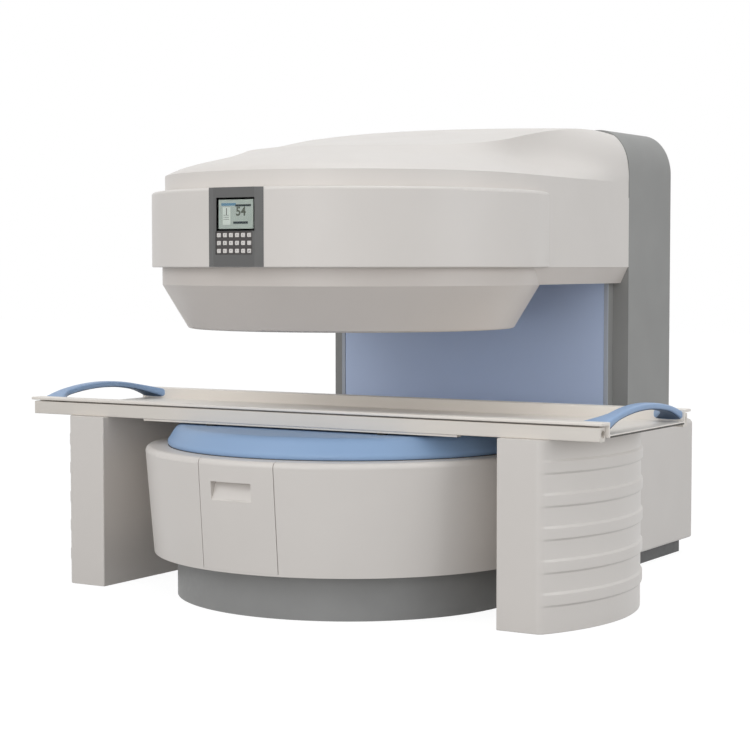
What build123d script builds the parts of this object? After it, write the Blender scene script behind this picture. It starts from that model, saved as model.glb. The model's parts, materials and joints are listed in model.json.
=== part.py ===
"""Open magnetic resonance scanner: a C-shaped magnet in moulded covers and a sliding patient table.

Millimetres, +Z up, +X along the table, +Y towards the column. The origin is on the floor,
on the vertical axis of the magnet poles.
"""

import os

from build123d import *

# Magnet stack, measured away from the middle of the patient gap
gap_mid_z = 926.5
patient_gap = 409.0
pole_cover_wall = 6.0
coil_air = 4.0
transmit_coil_t = 28.0
gradient_coil_t = 44.0
pole_base_t = 80.0
pole_rim_h = 60.0
pole_rim_t = 62.0
pole_rim_chamfer = 10.0
magnet_block_t = 160.0
yoke_plate_t = 200.0
coil_rim_air = 6.0
coil_edge_r = 8.0
pole_r = 650.0
pole_overhang = 10.0
magnet_sides = 24
lead_hole_r = 45.0
yoke_rim_w = 50.0
yoke_half_w = 620.0
yoke_back_y = 1545.0
yoke_column_t = 355.0
yoke_chamfer = 25.0
yoke_bolt_r = 18.0
yoke_bolt_head_r = 32.0
yoke_bolt_head_t = 30.0
yoke_bolt_grip = 110.0
yoke_bolt_clearance = 1.0
yoke_bolt_hole_spare = 10.0
bolt_head_sides = 6
yoke_bolt_pitch = 300.0
yoke_bolts_per_plate = 4
foot_post_r = 45.0
foot_pad_r = 85.0
foot_pad_t = 20.0
foot_ring_r = 480.0
foot_ring_count = 4
foot_ring_start = 45.0
rear_foot_x = 300.0

# Plinths
plinth_set_in = 98.0
plinth_wall = 12.0
plinth_corner_r = 20.0
rear_plinth_half_w = 776.0
rear_plinth_back_y = 1796.0
rear_plinth_front_y = 470.0
rear_plinth_h = 68.0

# Drum cover round the lower pole
drum_bottom_z = 185.0
drum_bottom_draft = 35.0
drum_mid_z = 400.0
drum_mid_draft = 17.0
drum_top_z = 635.0
drum_reach = 228.0
drum_top_fillet = 24.0
drum_wall = 9.0
drum_seat_spare = 1.0
drum_foot_lip = 8.0

# Pull-off access panel in the front of the drum
hatch_half_w = 177.0
hatch_seam = 3.0
hatch_seat_gap = 0.3
hatch_flange_air = 16.0
grip_half_w = 97.0
grip_x = -18.0
grip_bottom_z = 472.0
grip_top_z = 547.0
grip_depth = 26.0
grip_wall = 4.0
grip_sill = 2.0

# Blue cover of the lower pole
blue_ledge_w = 101.0
blue_belly = 7.0
blue_belly_h = 12.0
blue_flank_out = 5.0
blue_flank_h = 25.0
blue_shoulder_in = 22.0
blue_shoulder_drop = 20.0
blue_top_in = 57.0

# Rear base cover
base_half_w = 824.0
base_front_y = 470.0
base_back_y = 1836.0
base_bottom_z = 68.0
base_top_z = 650.0
base_wall = 10.0
base_corner_r = 25.0
base_edge_r = 24.0
base_foot_edge_r = 12.0
base_gap = 3.0

# Grey column
column_half_w = 791.0
column_front_y = 1115.0
column_back_y = 1609.0
column_headroom = 360.0
column_wall = 10.0
column_round_x = 150.0
column_round_z = 190.0
column_edge_r = 12.0
column_opening_lip = 5.5
front_panel_side_w = 95.5
front_panel_y = 1056.0
front_panel_wall = 6.0
front_panel_edge_r = 4.0
trim_w = 18.0
trim_t = 8.0
cover_gap = 1.5

# Upper housing
band_reach = 195.0
band_bottom_z = 1387.0
band_headroom = 47.0
band_top_fillet = 14.0
band_bottom_fillet = 5.0
skirt_set_in = 56.0
skirt_side_step = 2.0
skirt_headroom = 115.0
housing_wall = 10.0
housing_flange = 50.0
roof_y = (-350.0, 100.0, 600.0)
roof_rise = (-8.0, 117.0, 165.0, 234.0, 234.0)
roof_sag = (110.0, 88.0, 68.0, 46.0, 24.0)
slope_levels = (0.0, 70.0, 140.0, 200.0, 235.0)
slope_front_in = (0.0, 215.0, 510.0, 698.0, 813.0)
slope_side_in = (0.0, 156.0, 188.0, 187.0, 187.0)
slope_turn_y = (0.0, 208.0, 347.0, 388.0, 417.0)
slope_back_in = (2.0, 4.0, 19.0, 56.0, 105.0)

# Cover of the upper pole
upper_nose_out = 43.0
upper_nose_fillet = 14.0
upper_rim_z = 1314.0
upper_rim_in = 43.0
shelf_top_in = 4.0
shelf_bottom_in = 39.0

# Brackets that carry the covers on the yoke
bracket_w = 50.0
bracket_t = 8.0
bracket_lower_z = 300.0
bracket_upper_z = 1560.0
bracket_column_low_z = 900.0
bracket_column_x = 480.0
bracket_angles = (42.0, 84.0, 126.0)
bracket_seat_gap = 0.4

# Control panel
panel_x = -7.0
panel_half_w = 130.0
panel_face_half_w = 98.0
panel_proud = 7.0
panel_side_t = 3.0
panel_top_gap = 1.0
panel_bottom_gap = 2.0
panel_can_half_w = 104.0
panel_can_bottom_z = 1422.0
panel_can_top_z = 1670.0
panel_can_depth = 40.0
panel_can_wall = 4.0
panel_plate_t = 6.0
panel_seat_gap = 0.3
display_z = 1594.0
display_half_w = 91.0
display_half_h = 65.0
display_recess = 2.5
display_shoulder = 8.0
window_t = 2.0
display_module_t = 14.0
keypad_x = -7.5
keypad_z = 1482.0
keypad_half_w = 87.0
keypad_half_h = 46.0
keypad_recess = 3.0
key_columns = 6
key_rows = 3
key_pitch_x = 28.8
key_pitch_z = 30.8
key_w = 18.5
key_h = 16.5
key_gap = 0.5
key_proud = 2.5
key_flange = 1.5
key_flange_t = 1.5
key_corner_r = 3.0
key_travel = 2.0
key_stem_r = 4.0
key_stem_sides = 8
key_board_gap = 0.6
key_board_t = 2.4
key_chamfer = 1.2
board_post_r = 3.0

# Patient table
table_mid_y = -36.0
table_half_w = 432.0
table_length = 2776.0
tray_top_z = 811.0
tray_bottom_z = 752.0
tray_floor_t = 10.0
tray_lip_t = 12.0
tray_lip_w = 70.0
tray_wall_t = 12.0
tray_edge_r = 3.0
rail_bottom_z = 738.0
rail_h = 55.0
rail_w = 46.0
rail_end_in = 13.0
rail_set_back = 6.0
rail_groove_r = 15.0
rail_groove_z = 767.0
rail_slot_h = 10.0
rail_corner_r = 4.0
rail_lip_t = 3.0
glide_clearance = 0.3
glide_length = 90.0
glide_plate_t = 3.0
glide_plate_h = 24.0
glide_x = (-700.0, -250.0, 250.0, 700.0)
sill_end_air = 186.0
sill_h = 8.0
sill_set_back = 5.0
pad_r = 22.0
pad_x = 420.0
tie_pitch = 100.0
tie_w = 50.0
tie_h = 12.0
handle_grip_w = 64.0
handle_t = 34.0
handle_edge_r = 14.0
handle_crest_z = 858.0
handle_shoulder_z = 808.0
handle_inset = 8.0
handle_foot_t = 11.0
handle_foot_tail = 118.0
handle_foot_clear = 4.0

# Pedestals under the table
pedestal_air = 75.0
pedestal_w = 314.0
pedestal_half_depth = 468.0
pedestal_bulge = 99.0
pedestal_corner_r = 45.0
pedestal_wall = 8.0
rib_first_z = 99.0
rib_pitch = 126.5
rib_count = 5
rib_h = 50.0
rib_proud = 8.0
rib_slope_h = 9.0
rib_root = 12.0
rib_end_in = 36.0
frame_tube = 80.0
frame_tube_wall = 5.0
frame_plate_t = 10.0
frame_post_y = 250.0
frame_plate_w = 180.0
frame_plate_l = 760.0
anchor_hole_r = 9.0
anchor_pitch_x = 130.0
anchor_pitch_y = 680.0

os.makedirs("parts", exist_ok=True)

# Distances of the magnet parts from the middle of the gap
cover_inner_d = patient_gap / 2 + pole_cover_wall
transmit_d = cover_inner_d + coil_air
gradient_d = transmit_d + transmit_coil_t
pole_base_d = gradient_d + gradient_coil_t
magnet_d = pole_base_d + pole_base_t
yoke_d = magnet_d + magnet_block_t
yoke_outer_d = yoke_d + yoke_plate_t
pole_rim_inner_r = pole_r - pole_rim_t
coil_r = pole_rim_inner_r - coil_rim_air
magnet_r = pole_r - pole_overhang
yoke_r = pole_r + yoke_rim_w
lower_face_z = gap_mid_z - patient_gap / 2
upper_face_z = gap_mid_z + patient_gap / 2
yoke_bolt_y = yoke_back_y - yoke_column_t / 2
gap_plane = Plane.XY.offset(gap_mid_z)

# Heights of the upper covers, which stand over the yoke
yoke_top_z = gap_mid_z + yoke_outer_d
column_top_z = yoke_top_z + column_headroom
band_top_z = yoke_top_z + band_headroom
skirt_top_z = yoke_top_z + skirt_headroom

# Radii and widths of the covers, which follow the pole and the column
drum_top_r = pole_r + drum_reach
band_r = pole_r + band_reach
blue_foot_r = drum_top_r - blue_ledge_w
drum_mid_r = drum_top_r - drum_mid_draft
drum_bottom_r = drum_top_r - drum_bottom_draft
drum_ring_inner_r = blue_foot_r - pole_cover_wall - drum_seat_spare
hatch_flange_r = blue_foot_r + hatch_flange_air
round_plinth_r = drum_bottom_r - plinth_set_in
skirt_r = band_r - skirt_set_in
skirt_half_w = column_half_w - skirt_side_step
upper_rim_r = band_r - upper_rim_in
upper_nose_r = pole_r + upper_nose_out
shelf_top_half_w = column_half_w - shelf_top_in
shelf_bottom_half_w = column_half_w - shelf_bottom_in
front_panel_half_w = column_half_w - front_panel_side_w
column_opening_half_w = front_panel_half_w - column_opening_lip

# Places along the table
pedestal_inner_x = drum_top_r + pedestal_air
pedestal_outer_x = pedestal_inner_x + pedestal_w
pedestal_corner_x = pedestal_outer_x - pedestal_bulge
pedestal_front_y = table_mid_y - pedestal_half_depth
pedestal_back_y = table_mid_y + pedestal_half_depth
rail_length = table_length - 2 * rail_end_in
sill_half_length = pedestal_inner_x - sill_end_air


def below(distance):
    """Height of a point of the lower magnet half, at a distance from the middle of the gap."""
    return gap_mid_z - distance


# Magnet and yoke

with BuildPart() as lower_yoke_plate:
    with BuildSketch(Plane.XY.offset(below(yoke_outer_d))):
        Circle(yoke_r)
        with Locations((0, yoke_back_y / 2)):
            Rectangle(2 * yoke_half_w, yoke_back_y)
    extrude(amount=yoke_plate_t)
    chamfer(lower_yoke_plate.edges().group_by(Axis.Z)[0], yoke_chamfer)
    with Locations((0, yoke_bolt_y, below(yoke_outer_d))):
        with GridLocations(yoke_bolt_pitch, 0, yoke_bolts_per_plate, 1):
            Cylinder(
                yoke_bolt_r + yoke_bolt_clearance,
                yoke_plate_t,
                align=(Align.CENTER, Align.CENTER, Align.MIN),
                mode=Mode.SUBTRACT,
            )
lower_yoke_plate.part.label = "lower_yoke_plate"
export_step(lower_yoke_plate.part, "parts/lower_yoke_plate.step")

with BuildPart() as upper_yoke_plate:
    mirror(lower_yoke_plate.part, about=gap_plane)
upper_yoke_plate.part.label = "upper_yoke_plate"
export_step(upper_yoke_plate.part, "parts/upper_yoke_plate.step")

with BuildPart() as yoke_column:
    with BuildSketch(Plane.XY.offset(below(yoke_d))):
        with Locations((0, yoke_bolt_y)):
            Rectangle(2 * yoke_half_w, yoke_column_t)
    extrude(amount=2 * yoke_d)
    chamfer(yoke_column.edges().filter_by(Axis.Z), yoke_chamfer)
    bolt_hole_depth = yoke_bolt_grip + yoke_bolt_hole_spare
    for end_z, end_align in ((below(yoke_d), Align.MIN), (gap_mid_z + yoke_d, Align.MAX)):
        with Locations((0, yoke_bolt_y, end_z)):
            with GridLocations(yoke_bolt_pitch, 0, yoke_bolts_per_plate, 1):
                Cylinder(
                    yoke_bolt_r + yoke_bolt_clearance,
                    bolt_hole_depth,
                    align=(Align.CENTER, Align.CENTER, end_align),
                    mode=Mode.SUBTRACT,
                )
yoke_column.part.label = "yoke_column"
export_step(yoke_column.part, "parts/yoke_column.step")

with BuildPart() as yoke_bolts:
    bolt_length = yoke_plate_t + yoke_bolt_grip
    with Locations((0, yoke_bolt_y, below(yoke_outer_d))):
        with GridLocations(yoke_bolt_pitch, 0, yoke_bolts_per_plate, 1):
            Cylinder(yoke_bolt_r, bolt_length, align=(Align.CENTER, Align.CENTER, Align.MIN))
    with BuildSketch(Plane.XY.offset(below(yoke_outer_d))):
        with Locations((0, yoke_bolt_y)):
            with GridLocations(yoke_bolt_pitch, 0, yoke_bolts_per_plate, 1):
                RegularPolygon(yoke_bolt_head_r, bolt_head_sides)
    extrude(amount=-yoke_bolt_head_t)
    mirror(about=gap_plane)
yoke_bolts.part.label = "yoke_bolts"
export_step(yoke_bolts.part, "parts/yoke_bolts.step")

with BuildPart() as lower_magnet_stack:
    with BuildSketch(Plane.XY.offset(below(yoke_d))):
        RegularPolygon(magnet_r, magnet_sides)
        Circle(lead_hole_r, mode=Mode.SUBTRACT)
    extrude(amount=magnet_block_t)
lower_magnet_stack.part.label = "lower_magnet_stack"
export_step(lower_magnet_stack.part, "parts/lower_magnet_stack.step")

with BuildPart() as lower_pole_shoe:
    with BuildSketch(Plane.XZ):
        base_z = below(magnet_d)
        rim_z = below(pole_base_d) + pole_rim_h
        with BuildLine():
            Polyline(
                (lead_hole_r, base_z),
                (pole_r, base_z),
                (pole_r, rim_z - pole_rim_chamfer),
                (pole_r - pole_rim_chamfer, rim_z),
                (pole_rim_inner_r, rim_z),
                (pole_rim_inner_r, below(pole_base_d)),
                (lead_hole_r, below(pole_base_d)),
                close=True,
            )
        make_face()
    revolve(axis=Axis.Z)
lower_pole_shoe.part.label = "lower_pole_shoe"
export_step(lower_pole_shoe.part, "parts/lower_pole_shoe.step")

with BuildPart() as lower_gradient_coil:
    with BuildSketch(Plane.XY.offset(below(pole_base_d))):
        Circle(coil_r)
        Circle(lead_hole_r, mode=Mode.SUBTRACT)
    extrude(amount=gradient_coil_t)
lower_gradient_coil.part.label = "lower_gradient_coil"
export_step(lower_gradient_coil.part, "parts/lower_gradient_coil.step")

with BuildPart() as lower_transmit_coil:
    with BuildSketch(Plane.XY.offset(below(gradient_d))):
        Circle(coil_r)
    extrude(amount=transmit_coil_t)
    fillet(lower_transmit_coil.edges().group_by(Axis.Z)[-1], coil_edge_r)
lower_transmit_coil.part.label = "lower_transmit_coil"
export_step(lower_transmit_coil.part, "parts/lower_transmit_coil.step")

lower_half = (lower_magnet_stack, lower_pole_shoe, lower_gradient_coil, lower_transmit_coil)
for lower_piece in lower_half:
    with BuildPart() as upper_piece:
        mirror(lower_piece.part, about=gap_plane)
    upper_piece.part.label = lower_piece.part.label.replace("lower", "upper")
    export_step(upper_piece.part, f"parts/{upper_piece.part.label}.step")

with BuildPart() as magnet_feet:
    foot_h = below(yoke_outer_d)
    foot_align = (Align.CENTER, Align.CENTER, Align.MIN)
    with PolarLocations(foot_ring_r, foot_ring_count, foot_ring_start):
        Cylinder(foot_post_r, foot_h, align=foot_align)
        Cylinder(foot_pad_r, foot_pad_t, align=foot_align)
    with Locations((0, 0), (-rear_foot_x, yoke_bolt_y), (rear_foot_x, yoke_bolt_y)):
        Cylinder(foot_post_r, foot_h, align=foot_align)
        Cylinder(foot_pad_r, foot_pad_t, align=foot_align)
magnet_feet.part.label = "magnet_feet"
export_step(magnet_feet.part, "parts/magnet_feet.step")

# Plinths

with BuildPart() as round_plinth:
    with BuildSketch():
        Circle(round_plinth_r)
        Circle(round_plinth_r - plinth_wall, mode=Mode.SUBTRACT)
    extrude(amount=drum_bottom_z)
round_plinth.part.label = "round_plinth"
export_step(round_plinth.part, "parts/round_plinth.step")

with BuildPart() as rear_plinth:
    plinth_length = rear_plinth_back_y - rear_plinth_front_y
    plinth_mid_y = (rear_plinth_back_y + rear_plinth_front_y) / 2
    with BuildSketch():
        with Locations((0, plinth_mid_y)):
            RectangleRounded(2 * rear_plinth_half_w, plinth_length, plinth_corner_r)
            RectangleRounded(
                2 * (rear_plinth_half_w - plinth_wall),
                plinth_length - 2 * plinth_wall,
                plinth_corner_r - plinth_wall,
                mode=Mode.SUBTRACT,
            )
        Circle(round_plinth_r + base_gap, mode=Mode.SUBTRACT)
    extrude(amount=rear_plinth_h)
rear_plinth.part.label = "rear_plinth"
export_step(rear_plinth.part, "parts/rear_plinth.step")


# Drum cover, hatch and lower pole cover


def drum_profile(inset):
    """Half section of the drum, moved inwards by inset. Closed to the axis."""
    top_z = drum_top_z - inset
    bottom_z = drum_bottom_z + inset
    with BuildSketch(Plane.XZ, mode=Mode.PRIVATE) as section:
        with BuildLine():
            wall = Spline(
                (drum_bottom_r - inset, bottom_z),
                (drum_mid_r - inset, drum_mid_z),
                (drum_top_r - inset, top_z - drum_top_fillet),
            )
            TangentArc(
                wall @ 1,
                (drum_top_r - drum_top_fillet, top_z),
                tangent=wall % 1,
            )
            Line((drum_top_r - drum_top_fillet, top_z), (0, top_z))
            Line((0, top_z), (0, bottom_z))
            Line((0, bottom_z), wall @ 0)
        make_face()
    return section.sketch


def drum_body(inset):
    """Solid of revolution of the drum, moved inwards by inset."""
    with BuildPart(mode=Mode.PRIVATE) as body:
        add(drum_profile(inset))
        revolve(axis=Axis.Z)
    return body.part


with BuildPart() as drum_shell:
    add(drum_body(0))
    add(drum_body(drum_wall), mode=Mode.SUBTRACT)
    with BuildSketch(Plane.XY.offset(drum_mid_z)):
        Circle(drum_ring_inner_r)
    extrude(amount=drum_top_z, mode=Mode.SUBTRACT)
    with BuildSketch(Plane.XY.offset(drum_mid_z)):
        Circle(round_plinth_r - plinth_wall - drum_foot_lip)
    extrude(amount=-drum_top_z, mode=Mode.SUBTRACT)

hatch_sill_z = drum_bottom_z + drum_wall
with BuildPart(mode=Mode.PRIVATE) as hatch_window:
    with BuildSketch(Plane.XY.offset(hatch_sill_z)):
        with Locations((0, -drum_top_r)):
            Rectangle(2 * (hatch_half_w + hatch_seam), drum_top_r)
        Circle(hatch_flange_r - hatch_seat_gap, mode=Mode.SUBTRACT)
    extrude(amount=drum_top_z)

with BuildPart() as lower_drum_cover:
    add(drum_shell.part)
    add(hatch_window.part, mode=Mode.SUBTRACT)
    with BuildSketch(Plane.XY.offset(below(yoke_outer_d) - base_gap)):
        with Locations((0, drum_top_r)):
            Rectangle(2 * (yoke_half_w + base_gap), 2 * drum_top_r)
    extrude(amount=yoke_plate_t + 2 * base_gap, mode=Mode.SUBTRACT)
lower_drum_cover.part.label = "lower_drum_cover"
export_step(lower_drum_cover.part, "parts/lower_drum_cover.step")

with BuildPart() as access_panel:
    add(drum_shell.part)
    with BuildSketch(Plane.XY.offset(hatch_sill_z + hatch_seat_gap)):
        with Locations((0, -drum_top_r)):
            Rectangle(2 * hatch_half_w, drum_top_r)
        Circle(hatch_flange_r, mode=Mode.SUBTRACT)
    extrude(amount=drum_top_z, mode=Mode.INTERSECT)
    grip_root_y = drum_wall / 2 - drum_mid_r
    grip_back_y = drum_wall + grip_depth + grip_wall - drum_mid_r
    with BuildSketch(Plane.YZ.offset(grip_x - grip_half_w - grip_wall)):
        with BuildLine():
            Polyline(
                (grip_root_y, grip_bottom_z - grip_wall),
                (grip_root_y, grip_top_z + grip_wall),
                (grip_back_y, grip_top_z + grip_wall),
                (grip_back_y, grip_top_z - grip_wall),
                close=True,
            )
        make_face()
    extrude(amount=2 * (grip_half_w + grip_wall))
    with BuildSketch(Plane.YZ.offset(grip_x - grip_half_w)):
        with BuildLine():
            Polyline(
                (-drum_top_r, grip_bottom_z),
                (-drum_top_r, grip_top_z),
                (grip_back_y - grip_wall, grip_top_z),
                (grip_sill - drum_mid_r, grip_bottom_z),
                close=True,
            )
        make_face()
    extrude(amount=2 * grip_half_w, mode=Mode.SUBTRACT)
access_panel.part.label = "access_panel"
export_step(access_panel.part, "parts/access_panel.step")


def blue_profile(inset):
    """Half section of the blue pole cover, moved inwards by inset."""
    top_z = lower_face_z - inset
    with BuildSketch(Plane.XZ, mode=Mode.PRIVATE) as section:
        with BuildLine():
            foot = ThreePointArc(
                (blue_foot_r - inset, drum_top_z),
                (blue_foot_r + blue_belly - inset, drum_top_z + blue_belly_h),
                (blue_foot_r + blue_flank_out - inset, drum_top_z + blue_flank_h),
            )
            shoulder_r = blue_foot_r - blue_shoulder_in - inset
            flank = Line(foot @ 1, (shoulder_r, top_z - blue_shoulder_drop))
            shoulder = TangentArc(
                flank @ 1,
                (blue_foot_r - blue_top_in - inset, top_z),
                tangent=flank % 1,
            )
            Line(shoulder @ 1, (0, top_z))
            Line((0, top_z), (0, drum_top_z))
            Line((0, drum_top_z), foot @ 0)
        make_face()
    return section.sketch


with BuildPart() as lower_pole_cover:
    add(blue_profile(0))
    revolve(axis=Axis.Z)
    with BuildSketch(Plane.XZ):
        add(blue_profile(pole_cover_wall))
    revolve(axis=Axis.Z, mode=Mode.SUBTRACT)
lower_pole_cover.part.label = "lower_pole_cover"
export_step(lower_pole_cover.part, "parts/lower_pole_cover.step")

# Rear base cover


def base_block(inset, top_inset):
    """Block of the rear base, moved inwards by inset, with rounded edges."""
    length = base_back_y - base_front_y
    with BuildPart(mode=Mode.PRIVATE) as block:
        with BuildSketch(Plane.XY.offset(base_bottom_z + inset)):
            with Locations((0, base_front_y + (length - inset) / 2)):
                Rectangle(2 * (base_half_w - inset), length - inset)
        extrude(amount=base_top_z - top_inset - base_bottom_z - inset)
        rear_corners = block.edges().filter_by(Axis.Z).group_by(Axis.Y)[-1]
        fillet(rear_corners, base_corner_r - inset)
        top_edges = block.faces().sort_by(Axis.Z)[-1].edges()
        fillet(top_edges.sort_by(Axis.Y)[1:], base_edge_r - inset)
        if inset == 0:
            foot_edges = block.faces().sort_by(Axis.Z)[0].edges()
            fillet(foot_edges.sort_by(Axis.Y)[1:], base_foot_edge_r)
    return block.part


with BuildPart() as rear_base_cover:
    add(base_block(0, 0))
    add(base_block(base_wall, base_wall), mode=Mode.SUBTRACT)
    with BuildSketch(Plane.XY.offset(base_bottom_z)):
        with Locations((0, (base_front_y + rear_plinth_back_y - plinth_wall) / 2)):
            Rectangle(
                2 * (rear_plinth_half_w - plinth_wall),
                rear_plinth_back_y - plinth_wall - base_front_y,
            )
    extrude(amount=base_wall, mode=Mode.SUBTRACT)
    add(drum_body(-base_gap), mode=Mode.SUBTRACT)
    with BuildSketch(Plane.XY.offset(drum_top_z - drum_top_fillet)):
        Circle(drum_top_r + base_gap)
    extrude(amount=base_top_z - drum_top_z + drum_top_fillet, mode=Mode.SUBTRACT)
    with BuildSketch(Plane.XY.offset(base_top_z)):
        with Locations((0, yoke_bolt_y)):
            Rectangle(2 * (yoke_half_w + base_gap), yoke_column_t + 2 * base_gap)
    extrude(amount=-2 * base_wall, mode=Mode.SUBTRACT)
rear_base_cover.part.label = "rear_base_cover"
export_step(rear_base_cover.part, "parts/rear_base_cover.step")

# Column cover and front panel


def column_body(inset):
    """Column with rounded upper sides, moved inwards by inset."""
    half_w = column_half_w - inset
    top_z = column_top_z - inset
    with BuildPart(mode=Mode.PRIVATE) as body:
        with BuildSketch(Plane.XZ.offset(-column_front_y - inset)):
            with BuildLine():
                right = Line((half_w, base_top_z), (half_w, top_z - column_round_z))
                corner = EllipticalCenterArc(
                    (half_w - column_round_x, top_z - column_round_z),
                    column_round_x,
                    column_round_z,
                    start_angle=0,
                    arc_size=90,
                )
                Line(corner @ 1, (0, top_z))
                Line((0, top_z), (0, base_top_z))
                Line((0, base_top_z), right @ 0)
            make_face()
            mirror(about=Plane.YZ)
        extrude(amount=-(column_back_y - column_front_y - 2 * inset))
    return body.part


panel_h = upper_rim_z - cover_gap - base_top_z
panel_depth = column_front_y - front_panel_y
return_w = front_panel_half_w + cover_gap

with BuildPart() as column_cover:
    add(column_body(0))
    rear_rim = column_cover.edges().group_by(Axis.Y)[-1].sort_by(Axis.Z)[1:]
    fillet(rear_rim, column_edge_r)
    add(column_body(column_wall), mode=Mode.SUBTRACT)
    with BuildSketch(Plane.XZ.offset(-column_front_y)):
        with Locations((0, (base_top_z + column_top_z - column_round_z) / 2)):
            Rectangle(2 * column_opening_half_w, column_top_z - column_round_z - base_top_z)
    extrude(amount=-column_wall, mode=Mode.SUBTRACT)
    with BuildSketch(Plane.XZ.offset(-column_front_y)):
        with Locations((0, base_top_z + panel_h / 2)):
            Rectangle(2 * (return_w + trim_w), panel_h)
            Rectangle(2 * return_w, panel_h, mode=Mode.SUBTRACT)
    extrude(amount=panel_depth - trim_t)
column_cover.part.label = "column_cover"
export_step(column_cover.part, "parts/column_cover.step")

with BuildPart() as column_front_panel:
    with BuildSketch(Plane.XZ.offset(-column_front_y)):
        with Locations((0, base_top_z + panel_h / 2)):
            Rectangle(2 * front_panel_half_w, panel_h)
    extrude(amount=panel_depth)
    front_edges = column_front_panel.edges().filter_by(Axis.Z).group_by(Axis.Y)[0]
    fillet(front_edges, front_panel_edge_r)
    with BuildSketch(Plane.XZ.offset(-column_front_y)):
        with Locations((0, base_top_z + panel_h / 2)):
            Rectangle(
                2 * (front_panel_half_w - front_panel_wall),
                panel_h - 2 * front_panel_wall,
            )
    extrude(amount=panel_depth - front_panel_wall, mode=Mode.SUBTRACT)
column_front_panel.part.label = "column_front_panel"
export_step(column_front_panel.part, "parts/column_front_panel.step")

with BuildPart() as panel_edge_trims:
    with BuildSketch(Plane.XZ.offset(-front_panel_y)):
        with Locations((0, base_top_z + panel_h / 2)):
            Rectangle(2 * (return_w + trim_w), panel_h)
            Rectangle(2 * return_w, panel_h, mode=Mode.SUBTRACT)
    extrude(amount=-trim_t)
panel_edge_trims.part.label = "panel_edge_trims"
export_step(panel_edge_trims.part, "parts/panel_edge_trims.step")

# Upper housing


def arch_plan(radius, half_w, back_y):
    """Plan of a round front that runs into straight sides. Drawn in the open sketch."""
    Circle(radius)
    with Locations((0, back_y / 2)):
        Rectangle(2 * half_w, back_y)


def slope_section(level, inset):
    """Plan of the dome's flanks at one of its levels, moved inwards by inset."""
    side_x = skirt_r - slope_side_in[level] - inset
    turn_y = slope_turn_y[level]
    front_y = slope_front_in[level] + inset - skirt_r
    back = (column_half_w - slope_back_in[level] - inset, column_front_y - cover_gap)
    height = skirt_top_z + slope_levels[level] - inset
    with BuildSketch(Plane.XY.offset(height), mode=Mode.PRIVATE) as plan:
        with BuildLine():
            Spline(back, (side_x, turn_y), tangents=((0, -1), (0, -1)))
            EllipticalCenterArc(
                (0, turn_y),
                side_x,
                turn_y - front_y,
                start_angle=270,
                arc_size=90,
            )
            Line((0, front_y), (0, back[1]))
            Line((0, back[1]), back)
        make_face()
        mirror(about=Plane.YZ)
    return plan.sketch


def roof_limit(inset):
    """Everything below the crowned top surface, which flattens towards the column."""
    stations = (-band_r, *roof_y, column_front_y - cover_gap)
    with BuildPart(mode=Mode.PRIVATE) as limit:
        for y, rise, sag in zip(stations, roof_rise, roof_sag):
            crown_z = skirt_top_z + rise - inset
            with BuildSketch(Plane.XZ.offset(-y)):
                with BuildLine():
                    crown = ThreePointArc(
                        (-band_r, crown_z - sag),
                        (0, crown_z),
                        (band_r, crown_z - sag),
                    )
                    Polyline(
                        crown @ 1,
                        (band_r, band_bottom_z),
                        (-band_r, band_bottom_z),
                        crown @ 0,
                    )
                make_face()
        loft()
    return limit.part


def housing_body(inset):
    """Band, set-in skirt and dome of the upper housing, moved inwards by inset."""
    back_y = column_front_y - cover_gap
    floor_z = band_bottom_z + inset
    with BuildPart(mode=Mode.PRIVATE) as dome:
        for level in range(len(slope_levels)):
            add(slope_section(level, inset))
        loft()
        add(roof_limit(inset), mode=Mode.INTERSECT)
    with BuildPart(mode=Mode.PRIVATE) as body:
        with BuildSketch(Plane.XY.offset(floor_z)):
            arch_plan(band_r - inset, column_half_w - inset, back_y)
        extrude(amount=band_top_z - inset - floor_z)
        if inset == 0:
            arcs = body.edges().filter_by(GeomType.CIRCLE)
            fillet(arcs.group_by(Axis.Z)[-1], band_top_fillet)
            arcs = body.edges().filter_by(GeomType.CIRCLE)
            fillet(arcs.group_by(Axis.Z)[0], band_bottom_fillet)
        with BuildSketch(Plane.XY.offset(floor_z)):
            arch_plan(skirt_r - inset, skirt_half_w - inset, back_y)
        extrude(amount=skirt_top_z - inset - floor_z)
        add(dome.part)
    return body.part


can_mid_z = (panel_can_top_z + panel_can_bottom_z) / 2
can_h = panel_can_top_z - panel_can_bottom_z

with BuildPart() as upper_housing_cover:
    add(housing_body(0))
    add(housing_body(housing_wall), mode=Mode.SUBTRACT)
    with BuildSketch(Plane.XY.offset(band_bottom_z)):
        opening_back_y = column_front_y - cover_gap - housing_wall
        arch_plan(band_r - housing_flange, shelf_bottom_half_w, opening_back_y)
    extrude(amount=housing_wall, mode=Mode.SUBTRACT)
    with BuildSketch(Plane.XZ.offset(skirt_r)):
        with Locations((0, can_mid_z)):
            Rectangle(2 * (panel_can_half_w + cover_gap), can_h + 2 * cover_gap)
    extrude(amount=band_r, mode=Mode.SUBTRACT)
upper_housing_cover.part.label = "upper_housing_cover"
export_step(upper_housing_cover.part, "parts/upper_housing_cover.step")


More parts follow.
